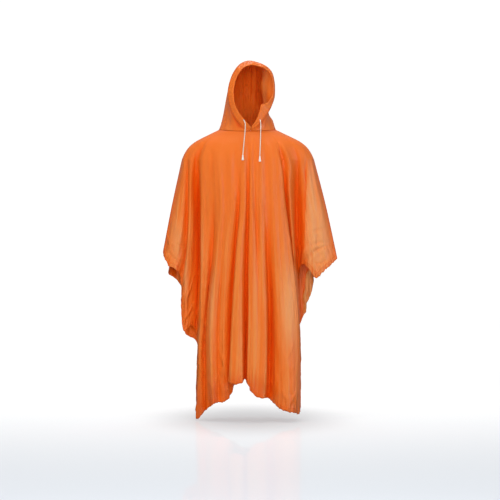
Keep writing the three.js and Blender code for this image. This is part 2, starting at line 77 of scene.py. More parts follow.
@dataclass(frozen=True)
class Cut:
    """The flat sheet, in millimetres, folded over the shoulders."""

    width: float = 1320.0
    length: float = 2032.0

    @property
    def side(self) -> float:
        """Length of one side edge, from a tip to a corner."""
        return self.length / 2

    @property
    def round(self) -> float:
        """Length round one half's cut edge, from tip to tip."""
        return self.width + self.length


@dataclass(frozen=True)
class NeckRing:
    """The ring where the hood is welded to the sheet."""

    x: float = -10.0
    y: float = -5.0
    half_width: float = 111.0
    half_depth: float = 93.0
    lean: float = 6.0
    side_rise: float = 4.0

    def point(self, degrees: np.ndarray) -> np.ndarray:
        """Points of the ring.

        Args:
            degrees: angles from the front; -90 is the left side and 90 the right.

        Returns:
            An array with one point a row, in millimetres.
        """
        angle = np.radians(np.asarray(degrees, dtype=float))
        x = self.x + self.half_width * np.sin(angle)
        y = self.y - self.half_depth * np.cos(angle)
        z = -self.lean * np.cos(angle) + self.side_rise * np.sin(angle) ** 2
        return np.stack([x, y, z], axis=-1)


@dataclass(frozen=True)
class Yoke:
    """How the sheet lies on the shoulders, and where it leaves them."""

    height: float = -113.0
    front: float = 118.0
    back: float = 110.0
    left: float = 266.0
    right: float = 250.0
    fullness: float = 2.4
    slope: float = 0.6
    turn: float = 7.0
    folded: float = 0.3

    def point(self, x: np.ndarray, facing: Facing) -> np.ndarray:
        """The outline at yoke height.

        Args:
            x: places across, in millimetres.
            facing: the half of the sheet.

        Returns:
            One point a row.
        """
        x = np.asarray(x, dtype=float)
        share = np.minimum(np.abs(x) / np.where(x < 0, self.left, self.right), 1.0)
        depth = np.maximum(1 - share**self.fullness, 0.0) ** (1 / self.fullness)
        reach = self.front if facing is Facing.FRONT else self.back
        return np.stack([x, facing.value * depth * reach, np.full_like(x, self.height)], axis=-1)


@dataclass(frozen=True)
class Deepening:
    """How the folds deepen towards the hem, between the corners."""

    middle: float
    gain: float
    start: float = 150.0
    end: float = 580.0
    border: float = 140.0


@dataclass(frozen=True)
class Fold:
    """One fold line: its place round the cut's edge, its start, and [x, y] at three heights."""

    along: float
    yoke: float
    chest: Tuple[float, float]
    waist: Tuple[float, float]
    hip: Optional[Tuple[float, float]] = None


@dataclass(frozen=True)
class EdgePoint:
    """Where a place of the cut's edge hangs."""

    along: float
    x: float
    y: float
    z: float


HEIGHTS = {"chest": -289.0, "waist": -465.0, "hip": -757.0}

FRONT_FOLDS = (
    Fold(0, -266, (-304, -8), (-337, -16)),
    Fold(95, -257, (-272, -49), (-292, -58)),
    Fold(150, -243, (-247, -40), (-255, -36)),
    Fold(300, -229, (-230, -54), (-238, -55), (-254, -37)),
    Fold(500, -204, (-200, -4), (-199, 0), (-209, 2)),
    Fold(1016, -182, (-181, -90), (-184, -86), (-192, -68)),
    Fold(1110, -150, (-141, -97), (-144, -74), (-172, -40)),
    Fold(1185, -122, (-112, -119), (-126, -113), (-149, -107)),
    Fold(1230, -100, (-92, -117), (-108, -106), (-122, -95)),
    Fold(1280, -80, (-70, -124), (-88, -118), (-106, -106)),
    Fold(1395, -52, (-44, -113), (-54, -92), (-71, -76)),
    Fold(1465, -38, (-33, -127), (-50, -124), (-69, -124)),
    Fold(1530, -24, (-22, -134), (-36, -138), (-46, -148)),
    Fold(1640, -6, (-7, -116), (-12, -100), (-16, -90)),
    Fold(1715, 8, (8, -134), (5, -139), (4, -147)),
    Fold(1770, 20, (20, -122), (30, -121), (28, -141)),
    Fold(1840, 34, (37, -132), (47, -134), (54, -142)),
    Fold(1905, 62, (68, -119), (67, -104), (74, -68)),
    Fold(2050, 84, (92, -127), (101, -130), (112, -118)),
    Fold(2130, 98, (107, -117), (117, -120), (136, -126)),
    Fold(2230, 110, (123, -116), (140, -117), (168, -108)),
    Fold(2336, 119, (134, -100), (158, -98), (187, -84)),
    Fold(2550, 127, (142, -58), (160, -52), (191, -52)),
    Fold(2640, 148, (156, -72), (169, -62), (192, -30)),
    Fold(2800, 182, (181, -12), (184, -4), (191, 0)),
    Fold(2960, 200, (207, -46), (207, -48)),
    Fold(3080, 221, (238, -58), (246, -60)),
    Fold(3165, 232, (256, -50), (265, -53)),
    Fold(3240, 240, (272, -46), (288, -50)),
    Fold(3352, 250, (295, -8), (331, -16)),
)

FRONT_EDGE = (
    EdgePoint(0, -339, -18, -472),
    EdgePoint(50, -331, -38, -497),
    EdgePoint(95, -312, -53, -527),
    EdgePoint(130, -286, -56, -540),
    EdgePoint(165, -272, -26, -562),
    EdgePoint(205, -266, -30, -600),
    EdgePoint(320, -267, -30, -700),
    EdgePoint(400, -257, -38, -781),
    EdgePoint(440, -232, -20, -757),
    EdgePoint(500, -211, 2, -785),
    EdgePoint(570, -203, -22, -842),
    EdgePoint(720, -206, -26, -960),
    EdgePoint(870, -210, -24, -1050),
    EdgePoint(1016, -207, -20, -1123),
    EdgePoint(1050, -192, -44, -1110),
    EdgePoint(1110, -172, -34, -1086),
    EdgePoint(1180, -144, -102, -1061),
    EdgePoint(1230, -125, -90, -1053),
    EdgePoint(1275, -105, -98, -1051),
    EdgePoint(1330, -80, -84, -1035),
    EdgePoint(1362, -66, -68, -1003),
    EdgePoint(1400, -60, -56, -982),
    EdgePoint(1470, -82, -128, -974),
    EdgePoint(1530, -55, -153, -980),
    EdgePoint(1585, -29, -147, -973),
    EdgePoint(1640, -21, -90, -960),
    EdgePoint(1695, -8, -139, -983),
    EdgePoint(1740, 3, -147, -1006),
    EdgePoint(1790, 26, -150, -1028),
    EdgePoint(1840, 50, -149, -1033),
    EdgePoint(1905, 68, -70, -1036),
    EdgePoint(1970, 90, -88, -1053),
    EdgePoint(2050, 113, -113, -1074),
    EdgePoint(2130, 144, -131, -1086),
    EdgePoint(2210, 170, -116, -1091),
    EdgePoint(2336, 193, -58, -1092),
    EdgePoint(2450, 195, -42, -1010),
    EdgePoint(2580, 196, -32, -900),
    EdgePoint(2680, 192, -20, -800),
    EdgePoint(2760, 190, 4, -700),
    EdgePoint(2860, 192, 6, -600),
    EdgePoint(2950, 199, -30, -522),
    EdgePoint(3000, 220, -47, -527),
    EdgePoint(3090, 255, -56, -573),
    EdgePoint(3170, 281, -53, -552),
    EdgePoint(3250, 309, -46, -526),
    EdgePoint(3352, 340, -18, -497),
)

BACK_FOLDS = (
    Fold(0, -266, (-304, -8), (-337, -16)),
    Fold(110, -256, (-286, 42), (-304, 40)),
    Fold(230, -240, (-258, 50), (-272, 58)),
    Fold(400, -222, (-232, 64), (-240, 62), (-252, 46)),
    Fold(560, -202, (-206, 34), (-204, 33), (-208, 37)),
    Fold(760, -187, (-188, 70), (-187, 64), (-192, 60)),
    Fold(1016, -170, (-172, 97), (-171, 96), (-184, 88)),
    Fold(1150, -138, (-142, 101), (-146, 90), (-152, 80)),
    Fold(1250, -110, (-114, 124), (-120, 128), (-126, 134)),
    Fold(1345, -84, (-86, 117), (-90, 104), (-94, 92)),
    Fold(1450, -54, (-56, 127), (-60, 134), (-62, 146)),
    Fold(1550, -30, (-30, 125), (-32, 116), (-34, 104)),
    Fold(1640, -4, (-4, 129), (-4, 138), (-2, 150)),
    Fold(1745, 26, (27, 118), (29, 106), (30, 96)),
    Fold(1850, 56, (60, 130), (64, 139), (66, 148)),
    Fold(1945, 86, (90, 120), (94, 112), (98, 100)),
    Fold(2030, 110, (114, 120), (119, 124), (122, 130)),
    Fold(2130, 136, (140, 96), (145, 86), (150, 82)),
    Fold(2300, 164, (167, 86), (173, 88), (182, 90)),
    Fold(2560, 180, (181, 64), (185, 62), (190, 62)),
    Fold(2780, 195, (197, 36), (197, 36), (196, 38)),
    Fold(2950, 208, (214, 60), (217, 58), (214, 44)),
    Fold(3080, 222, (240, 58), (248, 62)),
    Fold(3220, 236, (266, 44), (284, 44)),
    Fold(3352, 250, (295, -8), (331, -16)),
)

BACK_EDGE = (
    EdgePoint(0, -339, -18, -472),
    EdgePoint(60, -323, 10, -510),
    EdgePoint(110, -311, 28, -532),
    EdgePoint(150, -320, 42, -554),
    EdgePoint(200, -293, 58, -577),
    EdgePoint(250, -273, 62, -602),
    EdgePoint(330, -262, 54, -665),
    EdgePoint(450, -255, 42, -788),
    EdgePoint(520, -220, 42, -811),
    EdgePoint(570, -203, 38, -842),
    EdgePoint(680, -190, 56, -900),
    EdgePoint(850, -185, 74, -1000),
    EdgePoint(1016, -187, 88, -1080),
    EdgePoint(1080, -172, 110, -1077),
    EdgePoint(1150, -152, 80, -1064),
    EdgePoint(1250, -126, 138, -1046),
    EdgePoint(1345, -95, 88, -1028),
    EdgePoint(1450, -62, 152, -1000),
    EdgePoint(1550, -34, 100, -982),
    EdgePoint(1640, -1, 156, -970),
    EdgePoint(1745, 30, 92, -972),
    EdgePoint(1850, 66, 154, -990),
    EdgePoint(1945, 98, 96, -1010),
    EdgePoint(2030, 122, 136, -1028),
    EdgePoint(2130, 150, 80, -1044),
    EdgePoint(2220, 168, 114, -1056),
    EdgePoint(2336, 182, 96, -1064),
    EdgePoint(2460, 184, 84, -980),
    EdgePoint(2600, 186, 66, -880),
    EdgePoint(2720, 189, 44, -800),
    EdgePoint(2790, 191, 38, -768),
    EdgePoint(2850, 207, 42, -729),
    EdgePoint(2900, 218, 46, -704),
    EdgePoint(2950, 218, 52, -681),
    EdgePoint(3010, 230, 58, -657),
    EdgePoint(3080, 246, 62, -612),
    EdgePoint(3140, 250, 54, -570),
    EdgePoint(3220, 270, 40, -538),
    EdgePoint(3290, 307, 10, -504),
    EdgePoint(3352, 340, -18, -497),
)


# ---------------------------------------------------------------- smooth curves


def smooth(knots: np.ndarray, values: np.ndarray, at: np.ndarray) -> np.ndarray:
    """Cubic pieces through knots, whose slopes follow the knots on either side.

    Args:
        knots: rising places, one a value.
        values: the values at the knots, in rows.
        at: where the curve is read.

    Returns:
        The values at those places, in rows.
    """
    knots = np.asarray(knots, dtype=float)
    values = np.asarray(values, dtype=float)
    at = np.asarray(at, dtype=float)
    last = len(knots) - 1
    before = np.maximum(np.arange(last + 1) - 1, 0)
    after = np.minimum(np.arange(last + 1) + 1, last)
    width = (knots[after] - knots[before]).reshape((-1,) + (1,) * (values.ndim - 1))
    slopes = (values[after] - values[before]) / width
    i = np.clip(np.searchsorted(knots, at, side="left") - 1, 0, last - 1)
    span = knots[i + 1] - knots[i]
    t = (at - knots[i]) / span
    shape = (-1,) + (1,) * (values.ndim - 1)
    t = t.reshape(shape)
    span = span.reshape(shape)
    lead = values[i] * (1 + 2 * t) * (1 - t) ** 2 + values[i + 1] * t * t * (3 - 2 * t)
    return lead + span * (slopes[i] * t * (1 - t) ** 2 + slopes[i + 1] * t * t * (t - 1))


def smoothstep(x: np.ndarray, low: float, high: float) -> np.ndarray:
    """A soft step from 0 at low to 1 at high."""
    t = np.clip((np.asarray(x, dtype=float) - low) / (high - low), 0.0, 1.0)
    return t * t * (3 - 2 * t)


def grid_normals(grid: np.ndarray) -> np.ndarray:
    """Unit normals of a grid of points, rows first.

    Args:
        grid: an array of rows by columns by 3.

    Returns:
        Normals of the same shape.
    """
    down = np.gradient(grid, axis=0)
    across = np.gradient(grid, axis=1)
    normals = np.cross(down, across)
    length = np.linalg.norm(normals, axis=-1, keepdims=True)
    return normals / np.maximum(length, 1e-9)


class Ripple:
    """Smooth, seeded noise on cloth: sums of sines with wandering phase."""

    def __init__(self, seed: int, terms: int = 7) -> None:
        """Draws the sines.

        Args:
            seed: fixes the draw.
            terms: how many sines are added.
        """
        rng = np.random.default_rng(seed)
        self.angle = rng.uniform(0, 2 * math.pi, terms)
        self.pitch = rng.uniform(0.6, 1.7, terms)
        self.turn = rng.uniform(-1.0, 1.0, terms)

    def at(self, u: np.ndarray, v: np.ndarray) -> np.ndarray:
        """The noise, about -1 to 1.

        Args:
            u: places across, in wavelengths.
            v: places along, in wavelengths.

        Returns:
            Values of the same shape.
        """
        total = np.zeros(np.broadcast(u, v).shape)
        for angle, pitch, turn in zip(self.angle, self.pitch, self.turn):
            wander = 0.7 * np.sin(2 * math.pi * v * pitch * 0.5 + 2.3 * angle)
            total += np.sin(2 * math.pi * (u * pitch + v * turn * 0.6) + angle + wander)
        return total / math.sqrt(len(self.angle) * 1.6)


# ---------------------------------------------------------------- shader graph


class Sock:
    """A value in a material's graph; arithmetic on it adds Math nodes."""

    def __init__(self, graph: "Graph", link: bpy.types.NodeSocket) -> None:
        """Wraps an output socket of a graph."""
        self.graph = graph
        self.link = link

    def _math(self, operation: str, a: object, b: object) -> "Sock":
        """Adds one Math node.

        Args:
            operation: the node's operation.
            a: the first value.
            b: the second value.

        Returns:
            The node's output.
        """
        return self.graph.node("ShaderNodeMath", {"operation": operation}, {0: a, 1: b})

    def __add__(self, other: object) -> "Sock":
        """self + other."""
        return self._math("ADD", self, other)

    __radd__ = __add__

    def __mul__(self, other: object) -> "Sock":
        """self * other."""
        return self._math("MULTIPLY", self, other)

    __rmul__ = __mul__

    def __sub__(self, other: object) -> "Sock":
        """self - other."""
        return self._math("SUBTRACT", self, other)

    def __rsub__(self, other: object) -> "Sock":
        """other - self."""
        return self._math("SUBTRACT", other, self)

    def __truediv__(self, other: object) -> "Sock":
        """self / other."""
        return self._math("DIVIDE", self, other)

    def __pow__(self, other: object) -> "Sock":
        """self to a power."""
        return self._math("POWER", self, other)

    def away(self, place: float) -> "Sock":
        """How far the value is from a place."""
        return self._math("ABSOLUTE", self - place, 0.0)

    def near(self, place: float, width: float) -> "Sock":
        """A soft mask that is 1 where the value is at a place, and 0 a width away."""
        return self.graph.ramp(self.away(place), ((0.0, 1.0), (width, 0.0)))


class Graph:
    """The node graph of one material."""

    def __init__(self, name: str) -> None:
        """Starts a material with one Principled shader.

        Args:
            name: the material's name.
        """
        self.material = bpy.data.materials.new(name)
        self.material.use_nodes = True
        self.tree = self.material.node_tree
        self.tree.nodes.clear()
        self.shader = self.tree.nodes.new("ShaderNodeBsdfPrincipled")
        out = self.tree.nodes.new("ShaderNodeOutputMaterial")
        self.tree.links.new(self.shader.outputs[0], out.inputs["Surface"])

    def node(
        self,
        kind: str,
        settings: Optional[Dict[str, object]] = None,
        inputs: Optional[Dict[object, object]] = None,
        output: object = 0,
    ) -> Sock:
        """Adds a node, sets it and feeds it.

        Args:
            kind: the node's type.
            settings: its attributes, and "stops" for a ramp.
            inputs: values or links by socket name or number.
            output: which output is wanted.

        Returns:
            That output.
        """
        node = self.tree.nodes.new(kind)
        for key, value in (settings or {}).items():
            if key == "stops":
                self._stops(node, value)
            else:
                setattr(node, key, value)
        for key, value in (inputs or {}).items():
            self._feed(node.inputs[key], value)
        return Sock(self, node.outputs[output])

    def _feed(self, socket: bpy.types.NodeSocket, value: object) -> None:
        """Links or sets one input socket."""
        if isinstance(value, Sock):
            self.tree.links.new(value.link, socket)
        else:
            socket.default_value = value

    @staticmethod
    def _stops(node: bpy.types.Node, stops: Sequence[Tuple[float, object]]) -> None:
        """Sets a colour ramp's stops."""
        elements = node.color_ramp.elements
        while len(elements) < len(stops):
            elements.new(0.5)
        for element, (place, colour) in zip(elements, stops):
            element.position = place
            element.color = colour if hasattr(colour, "__len__") else (colour, colour, colour, 1)

    def ramp(self, value: Sock, stops: Sequence[Tuple[float, float]]) -> Sock:
        """Maps a value through two straight stops with soft ends."""
        (a, fa), (b, fb) = stops
        settings = {"interpolation_type": "SMOOTHSTEP"}
        return self.node("ShaderNodeMapRange", settings, {0: value, 1: a, 2: b, 3: fa, 4: fb})

    def mix(self, factor: object, a: object, b: object) -> Sock:
        """Mixes two colours."""
        return self.node(
            "ShaderNodeMix", {"data_type": "RGBA"}, {0: factor, 6: a, 7: b}, output=2
        )

    def attribute(self, name: str) -> Sock:
        """A number stored on the mesh."""
        return self.node("ShaderNodeAttribute", {"attribute_name": name}, output=2)

    def noise(self, scale: float, detail: float, vector: Sock, rough: float = 0.5) -> Sock:
        """Noise between 0 and 1."""
        inputs = {"Vector": vector, "Scale": scale, "Detail": detail, "Roughness": rough}
        return self.node("ShaderNodeTexNoise", None, inputs)

    def bump(self, height: Sock, distance: float, normal: Optional[Sock] = None) -> Sock:
        """Turns a height into a normal."""
        inputs: Dict[object, object] = {"Height": height, "Distance": distance, "Strength": 1.0}
        if normal is not None:
            inputs["Normal"] = normal
        return self.node("ShaderNodeBump", None, inputs)

    def finish(self, **inputs: object) -> bpy.types.Material:
        """Feeds the Principled shader.

        Args:
            **inputs: values or links by socket name, with _ for a space.

        Returns:
            The material.
        """
        for key, value in inputs.items():
            self._feed(self.shader.inputs[key.replace("_", " ")], value)
        return self.material


def rgb(red: float, green: float, blue: float) -> Tuple[float, float, float, float]:
    """A linear colour from display values of 0 to 255."""
    return tuple([(v / 255.0) ** 2.2 for v in (red, green, blue)] + [1.0])


@dataclass(frozen=True)
class VinylFilm:
    """Thin orange vinyl, with painted light and shade in its colour: a painted tan sheen on its ridges,
    painted redder shade down in its folds, painted pale and shaded patches, and a painted glow in its
    folds.
    """

    name: str = "vinyl_film"
    # The ridge colour is a painted sheen: the tan of light glinting off the ridges.
    ridge: Tuple[float, float, float] = (240, 156, 84)
    base: Tuple[float, float, float] = (240, 114, 36)
    # The deep colour is painted shade down in the folds and creases, and the colour of the painted glow;
    # it is also the real colour of the weld lines and of random blotches.
    deep: Tuple[float, float, float] = (232, 93, 10)
    # The pale colour is painted light and the shade colour painted shade.
    pale: Tuple[float, float, float] = (240, 157, 96)
    shade: Tuple[float, float, float] = (208, 82, 14)
    rim: Tuple[float, float, float] = (176, 56, 8)
    roughness: float = 0.43
    glow: float = 0.08
    # The last value is the strength of a painted glow in the folds and shaded patches.
    painted_glow: float = 0.1

    def material(self) -> bpy.types.Material:
        """Builds the material.

        Returns:
            A material that reads the cloth's UV map and its fold, weld, around and down numbers.
        """
        g = Graph(self.name)
        uv = g.node("ShaderNodeTexCoord", None, None, "UV")
        fold, weld = g.attribute("fold"), g.attribute("weld")
        around, down = g.attribute("around"), g.attribute("down")
        spread, tone = g.attribute("spread"), g.attribute("tone")
        fan = g.node("ShaderNodeCombineXYZ", None, {0: around * 30.0, 1: down * 3.0})
        thin = g.node("ShaderNodeCombineXYZ", None, {0: around * 78.0, 1: down * 7.0})
        streak = g.noise(1.0, 3.0, fan)
        line = g.noise(1.0, 2.0, thin)
        broad = g.noise(5.0, 3.0, uv)
        fine = g.noise(60.0, 4.0, uv)
        # Painted sheen: the ridges, more so lower down and along the fan lines, and the turned hem band
        # get the tan ridge colour.
        painted_sheen = g.ramp(fold, ((0.0, 1.0), (0.5, 0.0))) * g.ramp(streak, ((0.38, 0.0), (0.64, 1.0)))
        lower = g.ramp(down, ((0.26, 0.2), (0.6, 1.0)))
        painted_sheen = painted_sheen * (spread * 0.7 + 0.3) * lower * 0.7 + g.ramp(fold, ((-0.6, 0.9), (0.0, 0.0)))
        colour = g.mix(painted_sheen, rgb(*self.base), rgb(*self.ridge))
        pinched = g.ramp(streak.away(0.5), ((0.0, 1.0), (0.035, 0.0))) * spread
        pinched = pinched * g.ramp(down, ((0.3, 1.0), (0.8, 0.4)))
        # Painted shade along the thin pinched lines.
        colour = g.mix(pinched * 0.3, colour, rgb(*self.deep))
        # Painted shade: the deeper a point lies in its fold, the redder and darker its colour.
        colour = g.mix(g.ramp(fold, ((0.42, 0.0), (1.0, 0.8))), colour, rgb(*self.deep))
        colour = g.mix(g.ramp(broad, ((0.45, 0.0), (0.75, 0.16))), colour, rgb(*self.deep))
        # Painted light where the tone number is above zero, painted shade where it is below; the shaded
        # patches also glow.
        colour = g.mix(g.ramp(tone, ((0.0, 0.0), (1.0, 0.9))), colour, rgb(*self.pale))
        painted_shade_glow = g.ramp(tone, ((-1.0, 0.9), (0.0, 0.0)))
        colour = g.mix(painted_shade_glow, colour, rgb(*self.shade))
        welded = weld.near(15.0, 2.4)
        colour = g.mix(welded * 0.6, colour, rgb(*self.deep))
        teeth = g.node("ShaderNodeCombineXYZ", None, {0: around * 64.0, 1: weld * 0.02})
        hatch = g.noise(1.0, 1.0, teeth) * g.ramp(weld, ((8.0, 1.0), (36.0, 0.0)))
        # Painted shade in the fine cross-wrinkles near the cut's edge, which also get bumps.
        colour = g.mix(g.ramp(hatch, ((0.44, 0.0), (0.6, 0.6))), colour, rgb(*self.deep))
        colour = g.mix(g.ramp(weld, ((0.6, 0.6), (3.2, 0.0))), colour, rgb(*self.rim))
        rough = self.roughness + (fine - 0.5) * 0.16 + welded * -0.08
        creased = g.bump(streak * spread * lower, 0.008)
        lined = g.bump(line * spread - pinched * 0.35, 0.0026, creased)
        soft = g.bump(g.noise(16.0, 3.0, uv), 0.002, lined)
        crinkle = g.node(
            "ShaderNodeTexVoronoi",
            {"feature": "SMOOTH_F1"},
            {"Vector": uv, "Scale": 40.0, "Smoothness": 1.0, "Randomness": 1.0},
        )
        puckered = g.bump(crinkle, 0.0012, soft)
        cells = g.node(
            "ShaderNodeTexVoronoi",
            {"feature": "DISTANCE_TO_EDGE"},
            {"Vector": uv, "Scale": 15.0, "Randomness": 1.0},
        )
        near_hem = g.ramp(weld, ((30.0, 1.0), (170.0, 0.0)))
        patchy = g.ramp(g.noise(6.0, 2.0, uv), ((0.42, 0.0), (0.6, 1.0)))
        crumple = g.ramp(cells, ((0.0, 1.0), (0.2, 0.0))) * near_hem * patchy
        crumpled = g.bump(crumple, 0.0034, puckered)
        hatched = g.bump(hatch, 0.005, crumpled)
        grained = g.bump(g.noise(900.0, 2.0, uv), 0.00005, hatched)
        pressed = g.bump(welded, 0.0004, grained)
        return g.finish(
            Base_Color=colour,
            Roughness=rough,
            Normal=pressed,
            Specular_IOR_Level=0.45,
            Subsurface_Weight=self.glow,
            Subsurface_Radius=(1.0, 0.3, 0.08),
            Subsurface_Scale=0.008,
            # Painted glow: the folds and the shaded patches glow faintly in the deep colour.
            Emission_Color=g.mix(
                g.ramp(fold, ((0.36, 0.0), (1.0, 1.0))) + painted_shade_glow, rgb(0, 0, 0), rgb(*self.deep)
            ),
            Emission_Strength=self.painted_glow,
        )


@dataclass(frozen=True)
class BraidedCord:
    """Off-white braided cord."""

    name: str = "braided_cord"
    colour: Tuple[float, float, float] = (236, 230, 218)
    shade: Tuple[float, float, float] = (206, 196, 180)

    def material(self) -> bpy.types.Material:
        """Builds the material, whose braid follows the cord's own UV map."""
        g = Graph(self.name)
        uv = g.node("ShaderNodeTexCoord", None, None, "UV")
        strands = g.attribute("strand")
        speck = g.noise(260.0, 3.0, uv)
        colour = g.mix(strands, rgb(*self.colour), rgb(*self.shade))
        colour = g.mix(speck * 0.25, colour, rgb(*self.shade))
        bumped = g.bump(speck, 0.0001)
        return g.finish(Base_Color=colour, Roughness=0.85, Normal=bumped, Sheen_Weight=0.3)


@dataclass(frozen=True)
class MouldedPlastic:
    """White moulded plastic of the cord tips."""

    name: str = "moulded_plastic"
    colour: Tuple[float, float, float] = (244, 244, 242)

    def material(self) -> bpy.types.Material:
        """Builds the material, with a faint moulded grain."""
        g = Graph(self.name)
        place = g.node("ShaderNodeTexCoord", None, None, "Object")
        grain = g.noise(1400.0, 2.0, place)
        tone = g.mix(g.noise(90.0, 2.0, place) * 0.2, rgb(*self.colour), rgb(226, 224, 218))
        rough = 0.3 + grain * 0.12
        return g.finish(Base_Color=tone, Roughness=rough, Normal=g.bump(grain, 0.00004))


@dataclass(frozen=True)
class StudioFloor:
    """Pale, faintly glossy studio floor that turns up into a white backdrop; it glows with its own
    emission, dimmer and bluer towards the front, and a painted shadow lies in an ellipse under the poncho.
    """

    name: str = "studio_floor"

    def material(self) -> bpy.types.Material:
        """Builds the material."""
        g = Graph(self.name)
        place = g.node("ShaderNodeTexCoord", None, None, "Object")
        side = g.node("ShaderNodeSeparateXYZ", None, {0: place}, 0)
        near = g.node("ShaderNodeSeparateXYZ", None, {0: place}, 1)
        pale = g.mix(g.ramp(near, ((-3.0, 0.0), (2.4, 1.0))), rgb(186, 192, 200), rgb(222, 223, 224))
        glow = g.mix(g.ramp(near, ((-3.2, 0.0), (2.0, 1.0))), rgb(146, 148, 150), rgb(200, 201, 202))
        glow = g.mix(g.ramp(near, ((2.0, 0.0), (5.5, 1.0))), glow, rgb(224, 224, 224))
        # A painted shadow: an ellipse under the poncho darkens the colour and the glow towards grey.
        out = ((side / 0.4) ** 2.0 + ((near - 0.1) / 0.9) ** 2.0) ** 0.5
        shade = g.ramp(out, ((0.2, 0.36), (1.15, 0.0)))
        painted_shadow_grey = rgb(96, 98, 102)
        rough = 0.022 + (g.noise(3.0, 2.0, place) - 0.5) * 0.006
        return g.finish(
            Base_Color=g.mix(shade, pale, painted_shadow_grey),
            Roughness=rough,
            IOR=1.025,
            Emission_Color=g.mix(shade, glow, painted_shadow_grey),
            Emission_Strength=1.0,
        )


# ---------------------------------------------------------------- meshes


def mesh_object(
    name: str,
    points: np.ndarray,
    faces: Sequence[Sequence[int]],
    material: bpy.types.Material,
    smooth_faces: bool = True,
) -> bpy.types.Object:
    """Makes an object from points in metres.

    Args:
        name: the object's name.
        points: one point a row.
        faces: indices, in out-facing order.
        material: its material.
        smooth_faces: whether its faces are shaded smooth.

    Returns:
        The object, at the origin and linked to the scene.
    """
    mesh = bpy.data.meshes.new(name)
    mesh.from_pydata([tuple(p) for p in points], [], [tuple(f) for f in faces])
    mesh.materials.append(material)
    mesh.polygons.foreach_set("use_smooth", [smooth_faces] * len(mesh.polygons))
    mesh.update()
    obj = bpy.data.objects.new(name, mesh)
    bpy.context.scene.collection.objects.link(obj)
    return obj


def grid_faces(rows: int, columns: int, flip: bool = False) -> np.ndarray:
    """Quads of a grid of points.

    Args:
        rows: how many rows of points.
        columns: how many points a row.
        flip: turns the faces round.

    Returns:
        An array of four indices a face.
    """
    r, c = np.meshgrid(np.arange(rows - 1), np.arange(columns - 1), indexing="ij")
    a = (r * columns + c).ravel()
    quads = np.stack([a, a + columns, a + columns + 1, a + 1], axis=1)
    return quads[:, ::-1] if flip else quads


def store(obj: bpy.types.Object, name: str, values: np.ndarray) -> None:
    """Stores one number a point on a mesh."""
    attribute = obj.data.attributes.new(name, "FLOAT", "POINT")
    attribute.data.foreach_set("value", np.asarray(values, dtype=np.float32).ravel())


def unwrap(obj: bpy.types.Object, u: np.ndarray, v: np.ndarray) -> None:
    """Gives a mesh a UV map from one pair of numbers a point.

    Args:
        obj: the mesh object.
        u: first coordinate of each point.
        v: second coordinate of each point.
    """
    mesh = obj.data
    layer = mesh.uv_layers.new(name="UVMap")
    corners = np.empty(len(mesh.loops), dtype=np.int64)
    mesh.loops.foreach_get("vertex_index", corners)
    pairs = np.stack([np.ravel(u)[corners], np.ravel(v)[corners]], axis=1)
    layer.data.foreach_set("uv", pairs.astype(np.float32).ravel())


def freeze(obj: bpy.types.Object) -> bpy.types.Object:
    """Turns an object's live modifiers into plain mesh.

    Args:
        obj: the object.

    Returns:
        The same object, with no modifiers.
    """
    graph = bpy.context.evaluated_depsgraph_get()
    mesh = bpy.data.meshes.new_from_object(obj.evaluated_get(graph))
    obj.modifiers.clear()
    old = obj.data
    obj.data = mesh
    if isinstance(old, bpy.types.Mesh):
        bpy.data.meshes.remove(old)
    return obj


def thicken(obj: bpy.types.Object, thickness: float, offset: float = 0.0) -> None:
    """Gives a sheet its wall.

    Args:
        obj: the sheet.
        thickness: the film's thickness, in metres.
        offset: 0 for half to each side, -1 for all of it inwards.
    """
    wall = obj.modifiers.new("film", "SOLIDIFY")
    wall.thickness = thickness
    wall.offset = offset
    wall.use_even_offset = False
    freeze(obj)


# ---------------------------------------------------------------- the sheet


@dataclass(frozen=True)
class Crease:
    """A crease seen from the front or back: a soft line from one [x, z] to another."""

    start: Tuple[float, float]
    end: Tuple[float, float]
    bend: float
    width: float
    depth: float


@dataclass(frozen=True)
class Tone:
    """A patch at [x, z] of painted light, where the film's colour is painted paler, or of painted shade
    below zero.
    """

    place: Tuple[float, float]
    reach: Tuple[float, float]
    amount: float


@dataclass(frozen=True)
class Pleat:
    """A fold with one sharp edge, from [x, z] to [x, z], that runs out soft beside it.

    A width below zero puts the soft side towards -X. Its shade is the share of a fold's painted shade that
    it adds.
    """

    start: Tuple[float, float]
    end: Tuple[float, float]
    width: float
    depth: float
    shade: float


@dataclass(frozen=True)
class TurnedHem:
    """A stretch of the cut's edge that has turned over and lies as a band with painted light on it, with
    painted shade just beyond.
    """

    start: float
    end: float
    width: float
    lift: float


